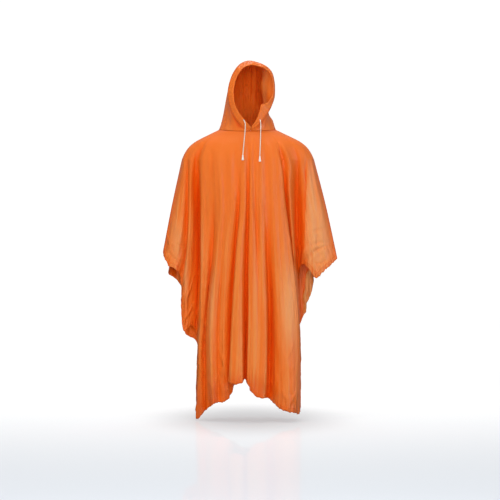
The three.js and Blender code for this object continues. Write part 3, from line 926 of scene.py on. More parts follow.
FRONT_CREASES = (
    Crease((97, -50), (144, -228), 16, 9, -4.0),
    Crease((110, -46), (158, -190), 14, 8, 3.0),
    Crease((-58, -62), (-66, -250), 5, 9, -2.6),
    Crease((-96, -70), (-100, -300), 4, 10, -2.4),
    Crease((-34, -46), (-36, -150), 3, 8, -2.2),
    Crease((58, -72), (66, -260), 4, 9, -2.4),
    Crease((-150, -60), (-168, -260), 8, 9, -3.0),
    Crease((-210, -80), (-246, -400), 6, 9, -2.4),
    Crease((-262, -180), (-302, -440), 4, 9, -2.2),
    Crease((222, -70), (262, -420), -8, 9, -2.6),
    Crease((244, -150), (300, -470), -6, 9, -2.2),
    Crease((-8, -24), (-12, -430), 2, 5, -2.6),
    Crease((16, -20), (14, -330), -2, 5, -2.4),
    Crease((30, -24), (30, -470), 3, 5, -2.6),
    Crease((-38, -40), (-60, -470), 4, 6, -2.6),
    Crease((56, -40), (64, -470), -3, 6, -2.4),
    Crease((-168, -90), (-172, -300), 3, 6, -2.6),
    Crease((-242, -90), (-252, -430), 4, 6, -3.2),
    Crease((218, -90), (226, -400), -4, 5, -2.6),
    Crease((200, -80), (262, -380), -6, 6, -3.0),
    Crease((196, -520), (318, -440), 12, 6, -3.2),
    Crease((180, -500), (222, -430), 5, 6, -3.0),
    Crease((214, -452), (322, -436), 7, 6, -1.8),
    Crease((250, -520), (304, -500), -5, 6, -2.2),
    Crease((232, -404), (300, -380), 6, 6, -1.6),
    Crease((-300, -430), (-236, -462), -5, 5, -1.3),
    Crease((-318, -470), (-262, -520), -4, 5, -1.6),
    Crease((150, -1010), (176, -1062), 4, 5, -2.2),
    Crease((-150, -930), (-118, -1052), 6, 9, -2.2),
    Crease((96, -820), (120, -1062), 4, 10, -2.4),
)

FRONT_PLEATS = (
    Pleat((222, -92), (207, -500), -58, 5.0, 1.0),
    Pleat((112, -84), (150, -226), -16, 2.5, 0.4),
    Pleat((-242, -84), (-244, -420), -26, 2.6, 0.5),
    Pleat((-208, -70), (-214, -330), -18, 2.2, 0.4),
    Pleat((-190, -150), (-192, -700), -26, 2.4, 0.3),
    Pleat((-36, -200), (-72, -700), -18, 2.2, 0.4),
    Pleat((-6, -120), (-8, -900), -12, 2.4, 0.5),
    Pleat((20, -190), (34, -620), -12, 1.8, 0.3),
    Pleat((-114, -240), (-122, -640), -14, 1.8, 0.25),
)

BACK_PLEATS = (
    Pleat((224, -92), (214, -480), -44, 4.0, 0.8),
    Pleat((-230, -92), (-236, -440), 30, 3.2, 0.6),
    Pleat((-30, -160), (-52, -640), -18, 2.2, 0.4),
    Pleat((64, -140), (82, -700), 16, 2.0, 0.4),
)

# Patches of painted light (above zero) and painted shade (below zero) on the front, at [x, z] with their
# reach.
FRONT_TONES = (
    Tone((266, -420), (62, 170), 0.9),
    Tone((236, -230), (22, 120), 0.6),
    Tone((150, -690), (34, 180), 0.85),
    Tone((-150, -640), (14, 190), 0.6),
    Tone((-186, -470), (10, 150), 0.4),
    Tone((-250, -590), (13, 110), 0.8),
    Tone((-290, -420), (26, 110), 0.6),
    Tone((-40, -1010), (150, 70), -0.9),
    Tone((150, -1080), (90, 50), -0.4),
    Tone((-180, -1080), (60, 60), -0.8),
)

# Patches of painted light (above zero) and painted shade (below zero) on the back, at [x, z] with their
# reach.
BACK_TONES = (
    Tone((-262, -410), (50, 140), 0.7),
    Tone((262, -410), (50, 140), 0.7),
    Tone((-120, -660), (24, 160), 0.6),
    Tone((96, -640), (20, 180), 0.6),
    Tone((-250, -590), (13, 110), 0.8),
    Tone((-300, -548), (30, 26), -1.0),
    Tone((0, -1050), (180, 50), -0.5),
)

BACK_CREASES = (
    Crease((-258, -790), (-234, -758), 0, 7, -3.4),
    Crease((-234, -758), (-206, -818), 0, 7, -3.4),
    Crease((-60, -60), (-72, -260), -5, 9, -2.6),
    Crease((-110, -64), (-126, -280), -6, 9, -2.4),
    Crease((10, -60), (12, -200), 3, 8, -2.2),
    Crease((66, -62), (74, -250), 4, 9, -2.4),
    Crease((120, -64), (140, -300), 6, 9, -3.0),
    Crease((-200, -90), (-236, -410), -6, 9, -2.4),
    Crease((206, -80), (250, -420), 6, 9, -2.6),
    Crease((222, -470), (300, -452), 6, 5, -1.6),
    Crease((-300, -450), (-240, -480), -5, 5, -1.5),
    Crease((-90, -840), (-112, -1020), 4, 9, -2.4),
    Crease((84, -830), (96, -1000), 4, 9, -2.4),
)


@dataclass
class SheetPanel:
    """One half of the poncho's sheet, hanging in its folds."""

    name: str
    node: str
    facing: Facing
    folds: Tuple[Fold, ...]
    edge: Tuple[EdgePoint, ...]
    creases: Tuple[Crease, ...]
    depth: Deepening
    seed: int
    tones: Tuple[Tone, ...]
    pleats: Tuple[Pleat, ...]
    turned: Tuple[TurnedHem, ...] = ()
    columns: int = 268
    yoke_rows: int = 26
    fall_rows: int = 138
    film: float = 0.8
    reach: float = 30.0
    sharpness: float = 1.9
    cut: Cut = field(default_factory=Cut)
    neck: NeckRing = field(default_factory=NeckRing)
    yoke: Yoke = field(default_factory=Yoke)

    def places(self) -> np.ndarray:
        """Places round the cut's edge, closer together where the folds are.

        Returns:
            Rising distances from the left tip.
        """
        knots = np.array([f.along for f in self.folds])
        spread = np.maximum(np.diff(knots), 60.0) ** 0.6
        steps = np.concatenate([[0.0], np.cumsum(spread)])
        even = np.linspace(0.0, steps[-1], self.columns)
        places = np.interp(even, steps, knots)
        for corner in (self.cut.side, self.cut.side + self.cut.width):
            places[np.argmin(np.abs(places - corner))] = corner
        return places

    def edge_at(self, along: np.ndarray) -> np.ndarray:
        """Where the cut's edge hangs, for places along it."""
        knots = np.array([e.along for e in self.edge])
        return smooth(knots, np.array([(e.x, e.y, e.z) for e in self.edge]), along)

    def fold_line(self, fold: Fold, end: np.ndarray, share: np.ndarray) -> np.ndarray:
        """A fold's line below the yoke.

        Args:
            fold: the fold.
            end: where it ends on the cut's edge.
            share: shares of its fall.

        Returns:
            One point a share.
        """
        start = self.yoke.point(np.array([float(fold.yoke)]), self.facing)[0]
        if abs(start[1]) > 1e-6:
            start[1] += (fold.chest[1] - start[1]) * self.yoke.folded
        places = [start]
        for name, height in HEIGHTS.items():
            spot = getattr(fold, name)
            if spot is not None and height > end[2] + 45:
                places.append(np.array([spot[0], spot[1], height]))
        places.append(end)
        line = np.array(places)
        z = start[2] + (end[2] - start[2]) * share
        at = smooth(-line[:, 2], line, -z)
        at[:, 2] = z
        return at

    def deepened(self, along: np.ndarray, points: np.ndarray) -> np.ndarray:
        """Deepens the folds of a row towards the hem.

        Args:
            along: places of the row's points.
            points: the row.

        Returns:
            The row with its depth changed.
        """
        inner = np.minimum(along - self.cut.side, self.cut.side + self.cut.width - along)
        gain = self.depth.gain * smoothstep(inner, 0, self.depth.border)
        gain = gain * smoothstep(-points[:, 2], self.depth.start, self.depth.end)
        points = points.copy()
        points[:, 1] = self.depth.middle + (points[:, 1] - self.depth.middle) * (1 + gain)
        return points

    def grid(self, along: np.ndarray) -> np.ndarray:
        """The panel's points, rows from the neck out to the cut's edge.

        Args:
            along: places round the cut's edge, one a column.

        Returns:
            An array of rows by columns by 3, in millimetres.
        """
        knots = np.array([f.along for f in self.folds])
        ends = self.edge_at(knots)
        yokes = self.yoke.point(smooth(knots, np.array([f.yoke for f in self.folds]), along), self.facing)
        chest = smooth(knots, np.array([f.chest[1] for f in self.folds]), along)
        inner = (np.abs(yokes[:, 1]) > 1e-6).astype(float)
        fold = self.yoke.folded * inner * (chest - yokes[:, 1])
        turn = np.arctan2(
            (yokes[:, 0] - self.neck.x) / self.neck.half_width,
            -(yokes[:, 1] - self.neck.y) / self.neck.half_depth,
        )
        angle = np.where(inner > 0, np.degrees(turn), np.sign(yokes[:, 0]) * 90)
        ring = self.neck.point(angle)
        rows: List[np.ndarray] = []
        for r in range(self.yoke_rows):
            out = math.sin(r / self.yoke_rows * math.pi / 2)
            down = self.yoke.slope * out + (1 - self.yoke.slope) * out**self.yoke.turn
            row = ring + (yokes - ring) * np.array([out, out, down])
            row[:, 1] += fold * out**4
            rows.append(row)
        share = np.linspace(0, 1, self.fall_rows + 1)
        lines = np.stack([self.fold_line(f, e, share) for f, e in zip(self.folds, ends)])
        across = smooth(knots, lines, along)
        off = self.edge_at(along) - smooth(knots, ends, along)
        for r, s in enumerate(share):
            row = across[:, r] + off * s**5
            rows.append(self.deepened(along, row))
        return np.stack(rows)

    def flat(self, along: np.ndarray, grid: np.ndarray) -> Tuple[np.ndarray, np.ndarray]:
        """Where each point lies on the flat cut.

        Args:
            along: places round the cut's edge.
            grid: the hanging points.

        Returns:
            Distances across and down the flat sheet from its middle, in millimetres.
        """
        side = self.cut.side
        across = np.clip(along - side, 0, self.cut.width) - self.cut.width / 2
        down = np.minimum(np.minimum(along, side), self.cut.round - along)
        steps = np.linalg.norm(np.diff(grid, axis=0), axis=-1)
        run = np.concatenate([np.zeros((1, len(along))), np.cumsum(steps, axis=0)])
        share = 0.09 + 0.91 * run / run[-1]
        return across * share, down * share

    def creased(self, grid: np.ndarray) -> np.ndarray:
        """How far each point moves out for the listed creases.

        Args:
            grid: the hanging points.

        Returns:
            Distances along the normals, in millimetres.
        """
        x, z = grid[..., 0], grid[..., 2]
        total = np.zeros(x.shape)
        for crease in self.creases:
            a, b = np.array(crease.start), np.array(crease.end)
            run = b - a
            length = np.linalg.norm(run)
            unit = run / length
            t = ((x - a[0]) * unit[0] + (z - a[1]) * unit[1]) / length
            off = (x - a[0]) * -unit[1] + (z - a[1]) * unit[0]
            off = off - crease.bend * 4 * t * (1 - t)
            ends = smoothstep(t, -0.08, 0.3) * (1 - smoothstep(t, 0.6, 1.08))
            line = np.exp(-((off / crease.width) ** 2))
            side = np.exp(-(((np.abs(off) - 2.2 * crease.width) / crease.width) ** 2))
            total += crease.depth * ends * (line - 0.3 * side)
        return total

    def pleated(self, grid: np.ndarray) -> np.ndarray:
        """How far each point lies down in the sharp-edged pleats.

        Args:
            grid: the hanging points.

        Returns:
            Depths along the normals, in millimetres, and shares of a fold's full painted shade.
        """
        x, z = grid[..., 0], grid[..., 2]
        total = np.zeros(x.shape + (2,))
        for pleat in self.pleats:
            t = (z - pleat.start[1]) / (pleat.end[1] - pleat.start[1])
            edge = pleat.start[0] + (pleat.end[0] - pleat.start[0]) * t
            width = pleat.width * (0.25 + 0.75 * np.clip(t, 0, 1))
            off = (x - edge) / width
            sharp = smoothstep(off * np.abs(width), -2.0, 1.0)
            soft = np.clip(1 - off, 0, 1) ** 1.3
            ends = smoothstep(t, -0.02, 0.22) * (1 - smoothstep(t, 0.7, 1.05))
            total += (ends * sharp * soft)[..., None] * np.array([pleat.depth, pleat.shade])
        return total

    def toned(self, grid: np.ndarray) -> np.ndarray:
        """How much painted light (above zero) or painted shade (below) the film's colour gets at each
        point.
        """
        total = np.zeros(grid.shape[:2])
        for tone in self.tones:
            across = (grid[..., 0] - tone.place[0]) / tone.reach[0]
            down = (grid[..., 2] - tone.place[1]) / tone.reach[1]
            total += tone.amount * np.exp(-(across**2 + down**2))
        return np.clip(total, -1, 1)

    def packed(self, u: np.ndarray, v: np.ndarray) -> np.ndarray:
        """Faint creases left by folding the sheet into its bag.

        Args:
            u: distances across the flat sheet.
            v: distances down the flat sheet.

        Returns:
            Distances along the normals, in millimetres.
        """
        wander = Ripple(self.seed + 5)
        total = np.zeros(u.shape)
        for value, other, pitch, depth in ((u, v, 165.0, 0.4), (v, u, 203.2, 0.6)):
            line = np.round(value / pitch)
            away = value - line * pitch + 1.6 * wander.at(other / 160.0, line * 0.37)
            fade = 0.45 + 0.55 * wander.at(other / 240.0 + line * 1.7, line * 0.9)
            sign = np.where(np.mod(line, 2) == 0, 1.0, -1.0)
            total += sign * depth * np.clip(fade, 0, 1) * np.exp(-((away / 3.4) ** 2))
        return total

    def banded(self, along: np.ndarray, weld: np.ndarray) -> Tuple[np.ndarray, np.ndarray]:
        """Where the hem has turned over.

        Args:
            along: places round the cut's edge, one a column.
            weld: each point's distance to the cut's edge.

        Returns:
            How far each point is lifted, in millimetres, and how much its fold colour changes: painted
            light on the band (below zero) and painted shade just beyond it (above).
        """
        lift, tone = np.zeros(weld.shape), np.zeros(weld.shape)
        for hem in self.turned:
            inside = smoothstep(along, hem.start, hem.start + 30)
            inside = inside * (1 - smoothstep(along, hem.end - 30, hem.end))
            band = 1 - smoothstep(weld, hem.width - 3, hem.width + 3)
            beyond = (1 - band) * (1 - smoothstep(weld, hem.width + 20, hem.width + 90))
            lift += inside[None, :] * band * hem.lift
            # Painted light on the band (below zero) and painted shade just beyond it (above zero).
            tone += inside[None, :] * (beyond - 1.6 * band)
        return lift, tone

    @staticmethod
    def spread(along: np.ndarray, grid: np.ndarray) -> np.ndarray:
        """How far the columns have fanned out, as a share of their spacing at the cut's edge."""
        steps = np.linalg.norm(np.gradient(grid, axis=1), axis=-1)
        return np.clip(steps / np.gradient(along), 0, 1)

    def frayed(self, along: np.ndarray, grid: np.ndarray, weld: np.ndarray) -> np.ndarray:
        """Small scallops of the hem, along the cloth.

        Args:
            along: places round the cut's edge, one a column.
            grid: the hanging points.
            weld: each point's distance to the cut's edge.

        Returns:
            How far each point moves, in millimetres.
        """
        outward = grid[-1] - grid[-9]
        outward = outward / np.linalg.norm(outward, axis=1, keepdims=True)
        scallop = Ripple(self.seed + 7).at(along / 58.0, np.zeros(along.shape))
        scallop = scallop + 0.6 * Ripple(self.seed + 8).at(along / 24.0, np.zeros(along.shape))
        inner = smoothstep(np.minimum(along, self.cut.round - along), 10, 90)
        amount = 2.0 * scallop * inner
        return np.exp(-weld / 24.0)[..., None] * (amount[:, None] * outward)[None]

    def wrinkled(self, along: np.ndarray, grid: np.ndarray, weld: np.ndarray) -> np.ndarray:
        """Small uneven folds between the main ones, fanning down from the shoulders.

        Args:
            along: places round the cut's edge, one a column.
            grid: the hanging points.
            weld: each point's distance to the cut's edge.

        Returns:
            Distances along the normals, in millimetres.
        """
        around = along[None, :] + np.zeros(grid.shape[:2])
        down = np.linspace(0, 1, len(grid))[:, None] + np.zeros(grid.shape[:2])
        spread = self.spread(along, grid)
        fall = smoothstep(-grid[..., 2], 40, 240)
        narrow = Ripple(self.seed).at(around / 74.0, down * 1.3)
        wide = Ripple(self.seed + 1).at(around / 170.0, down * 1.1)
        fine = Ripple(self.seed + 2).at(around / 31.0, down * 4.2)
        pucker = Ripple(self.seed + 3).at(around / 38.0, down * 16.0)
        rim = np.exp(-weld / 34.0)
        ridged = 1 - np.minimum(np.abs(Ripple(self.seed + 4).at(around / 96.0, down * 0.9)) / 0.35, 1)
        folds = fall * spread * (1.5 * narrow + 2.0 * wide + 0.8 * fine)
        folds = folds + fall * np.sqrt(spread) * 2.2 * ridged
        return folds + 0.25 * pucker * fall + 2.2 * rim * pucker

    def to_edge(self, grid: np.ndarray) -> np.ndarray:
        """Distance from each point to the cut's edge, in millimetres."""
        edge = grid[-1][::2]
        flat = grid.reshape(-1, 3)
        best = np.full(len(flat), 1e9)
        for chunk in np.array_split(np.arange(len(flat)), 40):
            away = flat[chunk][:, None, :] - edge[None, :, :]
            best[chunk] = np.sqrt((away**2).sum(-1).min(1))
        return best.reshape(grid.shape[:2])

    def envelope(self, grid: np.ndarray, reach: float, sign: float) -> np.ndarray:
        """A soft hull over the folds of each row.

        Args:
            grid: the hanging points.
            reach: how far across a ridge or valley counts, in millimetres.
            sign: 1 for the hull over the ridges, -1 for the one under the valleys.

        Returns:
            The hull's outward distance at each point.
        """
        out = sign * self.facing.value * grid[..., 1]
        x = grid[..., 0]
        hull = np.empty(out.shape)
        for r, (row, place) in enumerate(zip(out, x)):
            away = np.abs(place[:, None] - place[None, :])
            hull[r] = np.where(away < reach, row[None, :] - away * 0.2, -1e9).max(1)
            near = np.exp(-((away / (0.3 * reach)) ** 2))
            hull[r] = np.maximum((near * hull[r][None, :]).sum(1) / near.sum(1), row)
        return sign * hull

    def sunk(self, grid: np.ndarray) -> Tuple[np.ndarray, np.ndarray]:
        """How deep each point lies in its fold.

        Args:
            grid: the hanging points.

        Returns:
            A share of the fold's depth, from 0 on the ridges to 1 in the valleys, and that
            depth in millimetres.
        """
        out = self.facing.value * grid[..., 1]
        high = self.envelope(grid, self.reach, 1.0)
        low = self.envelope(grid, self.reach, -1.0)
        depth = np.maximum(high - low, 0.0)
        return np.clip((high - out) / (depth + 5.0), 0, 1), depth

    def build(self, film: bpy.types.Material) -> bpy.types.Object:
        """Builds the panel.

        Args:
            film: its material.

        Returns:
            The finished object, riding on the part and standing for its CAD node.
        """
        along = self.places()
        grid = self.grid(along)
        u, v = self.flat(along, grid)
        weld = self.to_edge(grid)
        fold, depth = self.sunk(grid)
        inner = np.minimum(along, self.cut.round - along)
        below = smoothstep(np.arange(len(grid)), 0.6 * self.yoke_rows, 1.5 * self.yoke_rows)
        sharpen = smoothstep(inner, 60, 700)[None, :] * smoothstep(weld, 4, 60) * below[:, None]
        moved = depth * (fold - np.clip(fold, 1e-6, 1) ** self.sharpness) * sharpen
        grid[..., 1] += self.facing.value * moved
        out = -grid_normals(grid) if self.facing is Facing.BACK else grid_normals(grid)
        quiet = smoothstep(np.minimum(along, self.cut.round - along), 0, 60)[None, :]
        quiet = quiet * smoothstep(np.arange(len(grid)), 0, self.yoke_rows * 0.5)[:, None]
        pressed = self.packed(u, v) * smoothstep(-grid[..., 2], 240, 700)
        lift = self.creased(grid) + pressed + self.wrinkled(along, grid, weld)
        lift = lift + 0.4 * (1 - smoothstep(weld, 14, 17))
        turned, tone = self.banded(along, weld)
        pleats = self.pleated(grid)
        lift = lift + turned - pleats[..., 0]
        grid = grid + out * (lift * quiet)[..., None] + self.frayed(along, grid, weld)
        obj = mesh_object(
            self.name, grid.reshape(-1, 3) * MM, grid_faces(*grid.shape[:2]), film
        )
        unwrap(obj, u / self.cut.width, v / self.cut.width)
        fold, _ = self.sunk(grid)
        # The fold number drives painted shade in the colour; the turned hem adds painted light on its band
        # and painted shade beyond it, and the pleats add their painted shade.
        fold = np.clip(fold + tone + pleats[..., 1], -0.6, 1)
        store(obj, "fold", fold)
        store(obj, "weld", weld)
        # Patches of painted light and painted shade, weaker down in the folds.
        store(obj, "tone", self.toned(grid) * (1 - 0.7 * np.clip(fold, 0, 1)))
        store(obj, "around", along[None, :] / 1000 + np.zeros(fold.shape))
        store(obj, "down", np.linspace(0, 1, len(grid))[:, None] + np.zeros(fold.shape))
        store(obj, "spread", self.spread(along, grid) * smoothstep(-grid[..., 2], 40, 260))
        thicken(obj, self.film * MM)
        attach(obj, "root")
        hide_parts(self.node)
        hole = math.pi * self.neck.half_width * self.neck.half_depth / 2
        self.cut.width * MM
        (self.cut.width * self.cut.side - hole) * MM * MM
        return obj


# ---------------------------------------------------------------- the hood


@dataclass(frozen=True)
class CasingSection:
    """A section of the drawcord casing: its nose and its rear edge."""

    nose: Point
    rear: Point


CASING = (
    CasingSection((4, -108, 10), (1, -99, -4.4)),
    CasingSection((-16, -114, 31), (-27, -104, 12)),
    CasingSection((-36, -116, 56), (-54, -101, 41)),
    CasingSection((-53, -113, 85), (-73, -95, 76)),
    CasingSection((-61, -109, 115), (-83, -89, 112)),
    CasingSection((-63, -104, 150), (-86, -83, 151)),
    CasingSection((-56, -99, 187), (-76, -78, 194)),
    CasingSection((-45, -95, 214), (-60, -74, 226)),
    CasingSection((-26, -91, 238), (-35, -69, 254)),
    CasingSection((2, -87, 250), (1, -65, 267)),
    CasingSection((30, -82, 247), (33, -60, 262)),
    CasingSection((55, -77, 239), (64, -54, 248)),
    CasingSection((75, -73, 222), (85, -49, 226)),
    CasingSection((86, -72, 196), (94, -48, 196)),
    CasingSection((89, -74, 166), (97, -50, 164)),
    CasingSection((86, -80, 132), (95, -57, 126)),
    CasingSection((66, -94, 105), (84, -75, 93)),
    CasingSection((44, -107, 97), (73, -91, 70)),
    CasingSection((38, -113, 76), (57, -101, 46)),
    CasingSection((26, -114, 42), (31, -105, 16)),
    CasingSection((4.9, -108, 10), (1.9, -99, -4.4)),
)


@dataclass(frozen=True)
class Arch:
    """An arch of the hood: its crown, its half widths and its feet on the neck."""

    crown: Point
    left: float
    right: float
    side: float
    foot: float


ARCHES = (
    Arch((0, 4, 272), 97, 80, 0, 74),
    Arch((-10, 92, 246), 90, 64, 62, 106),
    Arch((-18, 146, 166), 76, 48, 98, 126),
    Arch((-12, 128, 78), 64, 52, 96, 136),
)


@dataclass(frozen=True)
class HoodShape:
    """The hood's surface, from the casing round the face back to the nape."""

    fullness: float = 2.4
    flare: float = 5.0
    first_left: float = -5.7
    first_right: float = 6.2
    last: float = 142.0
    lift: float = 0.7
    gap: float = 0.1
    neck: NeckRing = field(default_factory=NeckRing)

    def section(self, share: np.ndarray) -> Tuple[np.ndarray, np.ndarray, np.ndarray]:
        """The casing at shares of the way round the face.

        Args:
            share: shares from the left end at the throat, over the brow, to the right end.

        Returns:
            Nose points, rear points and outward directions, one a row.
        """
        knots = np.arange(len(CASING), dtype=float)
        noses = np.array([c.nose for c in CASING])
        rears = np.array([c.rear for c in CASING])
        share = np.asarray(share, dtype=float)
        nose = smooth(knots, noses, share * knots[-1])
        rear = smooth(knots, rears, share * knots[-1])
        ahead = smooth(knots, rears, np.minimum(share + 0.02, 1) * knots[-1])
        behind = smooth(knots, rears, np.maximum(share - 0.02, 0) * knots[-1])
        outward = np.cross(ahead - behind, rear - nose)
        return nose, rear, outward / np.linalg.norm(outward, axis=1, keepdims=True)

    def arch(self, arch: Arch, share: np.ndarray) -> np.ndarray:
        """Points of an arch.

        Args:
            arch: the arch.
            share: shares from the left foot (-1) over the crown (0) to the right foot (1).

        Returns:
            One point a row.
        """
        crown = np.array(arch.crown, dtype=float)
        foot = self.neck.point(np.where(share < 0, -arch.foot, arch.foot))
        rise = np.cos(np.abs(share) * math.pi / 2)
        spread = (1 - np.clip(rise, 0, 1) ** self.fullness) ** (1 / self.fullness)
        reach = np.where(share < 0, -arch.left, arch.right)
        flare = (1 - rise) ** self.flare
        x = crown[0] + (reach - crown[0]) * spread
        y = arch.side + (crown[1] - arch.side) * np.clip(rise, 0, 1) ** 1.5
        x = x + (foot[:, 0] - x) * flare
        y = y + (foot[:, 1] - y) * flare
        z = foot[:, 2] + (crown[2] - foot[:, 2]) * rise
        return np.stack([x, y, z], axis=-1)

    def grid(self, shares: np.ndarray, backs: np.ndarray) -> np.ndarray:
        """The hood's points, rows from the casing back to the nape.

        Args:
            shares: places round each arch.
            backs: places from the casing (0) to the nape (1).

        Returns:
            An array of rows by columns by 3, in millimetres.
        """
        knots = np.array([0, 0.3, 0.55, 0.75, 0.9, 1])
        nose, rear, _ = self.section((shares + 1) / 2)
        reach = rear - nose
        first = rear + reach / np.linalg.norm(reach, axis=1, keepdims=True) * self.gap
        side = np.where(shares < 0, -1.0, 1.0)
        last = self.neck.point(side * (180 + (self.last - 180) * np.abs(shares)))
        lines = np.stack([first] + [self.arch(a, shares) for a in ARCHES] + [last])
        grid = smooth(knots, lines, backs)
        rows = []
        for row, back in zip(grid, backs):
            drift = np.zeros(row.shape)
            for sign, start in ((-1.0, self.first_left), (1.0, self.first_right)):
                feet = np.array([start] + [a.foot for a in ARCHES] + [self.last])
                ends = self.neck.point(sign * feet)
                foot = self.neck.point(sign * smooth(knots, feet, np.array([back])))[0]
                off = foot - smooth(knots, ends, np.array([back]))[0]
                drift += np.where((side == sign)[:, None], off, 0.0)
            share = np.abs(shares)[:, None] ** 6
            row = row + drift * share
            lift = np.maximum(share[:, 0] * min(back * 8, 1), back**6)
            row[:, 2] += self.lift * lift
            rows.append(row)
        return np.stack(rows)


@dataclass
class HoodHalf:
    """One half of the hood, from the crown seam down to the neck."""

    side: Side
    shape: HoodShape = field(default_factory=HoodShape)
    columns: int = 120
    rows: int = 130
    film: float = 0.8
    gap: float = 0.0
    flat_size: Tuple[float, float] = (300.0, 340.0)
    flat_area: float = 78000.0

    @property
    def name(self) -> str:
        """The piece's name."""
        return f"hood_{self.side.name.lower()}_film"

    def pulls(self, grid: np.ndarray) -> np.ndarray:
        """Soft troughs and ridges of the hood, in millimetres outwards.

        Args:
            grid: the hood's points.

        Returns:
            One distance a point.
        """
        x, y, z = grid[..., 0], grid[..., 1], grid[..., 2]
        noise = Ripple(31 + self.side.value)
        upright = noise.at(y / 62.0, z / 260.0) * smoothstep(z, 6, 60)
        small = Ripple(41 + self.side.value).at(y / 26.0, z / 90.0)
        foot = Ripple(51 + self.side.value).at(y / 30.0, z / 140.0)
        low = np.exp(-np.clip(z, 0, None) / 55.0) * smoothstep(z, 4, 22)
        trough = -2.0 * np.exp(-(((y + 58 - z * 0.22) / 13.0) ** 2)) * smoothstep(z, 12, 50)
        trough = trough * (1 - smoothstep(z, 90, 190))
        if self.side is Side.RIGHT:
            slack = np.exp(-(((y - 8) / 40.0) ** 2)) * smoothstep(x, 20, 60)
            trough = trough - 26.0 * slack * smoothstep(z, 34, 92) * (1 - smoothstep(z, 180, 236))
        inner = 3.4 * Ripple(61).at(x / 30.0, z / 300.0) * smoothstep(y, 40, 90)
        return 1.4 * upright + 0.45 * small + 1.6 * foot * low + trough + inner

    def gather(self, shares: np.ndarray, backs: np.ndarray) -> np.ndarray:
        """The trough that the pulled casing leaves right behind it, from 0 to 1; it also drives painted
        shade there.
        """
        low = smoothstep(np.abs(shares), 0.45, 0.7) * (1 - smoothstep(np.abs(shares), 0.9, 1.0))
        behind = np.exp(-(((backs - 0.05) / 0.03) ** 2))
        deep = 1.0 if self.side is Side.LEFT else 0.5
        return deep * behind[:, None] * low[None, :]

    def build(self, film: bpy.types.Material) -> bpy.types.Object:
        """Builds the half.

        Args:
            film: its material.

        Returns:
            The finished object.
        """
        shares = np.linspace(0, 1, self.columns) * self.side.value
        shares = shares if self.side is Side.RIGHT else shares[::-1]
        wide = np.linspace(-1, 1, 2 * self.columns - 1)
        backs = np.linspace(0, 1, self.rows)
        whole = self.shape.grid(wide, backs)
        normals = -grid_normals(whole)
        half = slice(0, self.columns) if self.side is Side.LEFT else slice(self.columns - 1, None)
        grid, out = whole[:, half], normals[:, half]
        seam = -1 if self.side is Side.LEFT else 0
        quiet = smoothstep(np.abs(shares), 0.0, 0.06) * (1 - smoothstep(np.abs(shares), 0.93, 1.0))
        quiet = quiet[None, :] * smoothstep(backs, 0, 0.04)[:, None]
        quiet = quiet * (1 - smoothstep(backs, 0.93, 1.0))[:, None]
        gather = self.gather(shares, backs)
        grid = grid + out * ((self.pulls(grid) - 5.0 * gather) * quiet)[..., None]
        neighbour = grid[:, -2] if self.side is Side.LEFT else grid[:, 1]
        away = neighbour - grid[:, seam]
        away = away / np.maximum(np.linalg.norm(away, axis=1, keepdims=True), 1e-9)
        grid[:, seam] += away * self.gap / 2
        obj = mesh_object(self.name, grid.reshape(-1, 3) * MM, grid_faces(*grid.shape[:2], True), film)
        around = np.abs(shares)[None, :] * 0.36 + np.zeros((self.rows, 1))
        behind = backs[:, None] * 0.33 + np.zeros((1, self.columns))
        unwrap(obj, around + 0.5 + 0.4 * self.side.value, behind)
        flat = np.zeros(grid.shape[:2])
        # Painted shade: the fold number rises a little towards the back and crown of the hood and fully in
        # the trough behind the casing, where the colour turns deep and glows.
        depth = smoothstep(grid[..., 1], -30, 60) * (0.2 + 0.25 * smoothstep(grid[..., 2], 60, 170))
        store(obj, "fold", np.maximum(depth, 0.3 + 0.7 * gather))
        # Painted light on the inner wall of the hood's right side, painted shade in the trough behind the
        # casing.
        wall = smoothstep(grid[..., 0], 44, 52) * smoothstep(grid[..., 2], 84, 110)
        wall = wall * smoothstep(grid[..., 1], -50, -20) * (1 - smoothstep(grid[..., 1], 60, 90))
        store(obj, "tone", 0.45 * wall - 0.9 * gather)
        store(obj, "weld", 60.0 + 90.0 * np.abs(shares)[None, :] + flat)
        store(obj, "around", backs[:, None] * 0.42 + flat)
        store(obj, "down", np.abs(shares)[None, :] * 0.5 + flat)
        store(obj, "spread", flat + 0.6)
        thicken(obj, self.film * MM)
        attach(obj, "root")
        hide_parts(f"hood_{self.side.name.lower()}")
        return obj


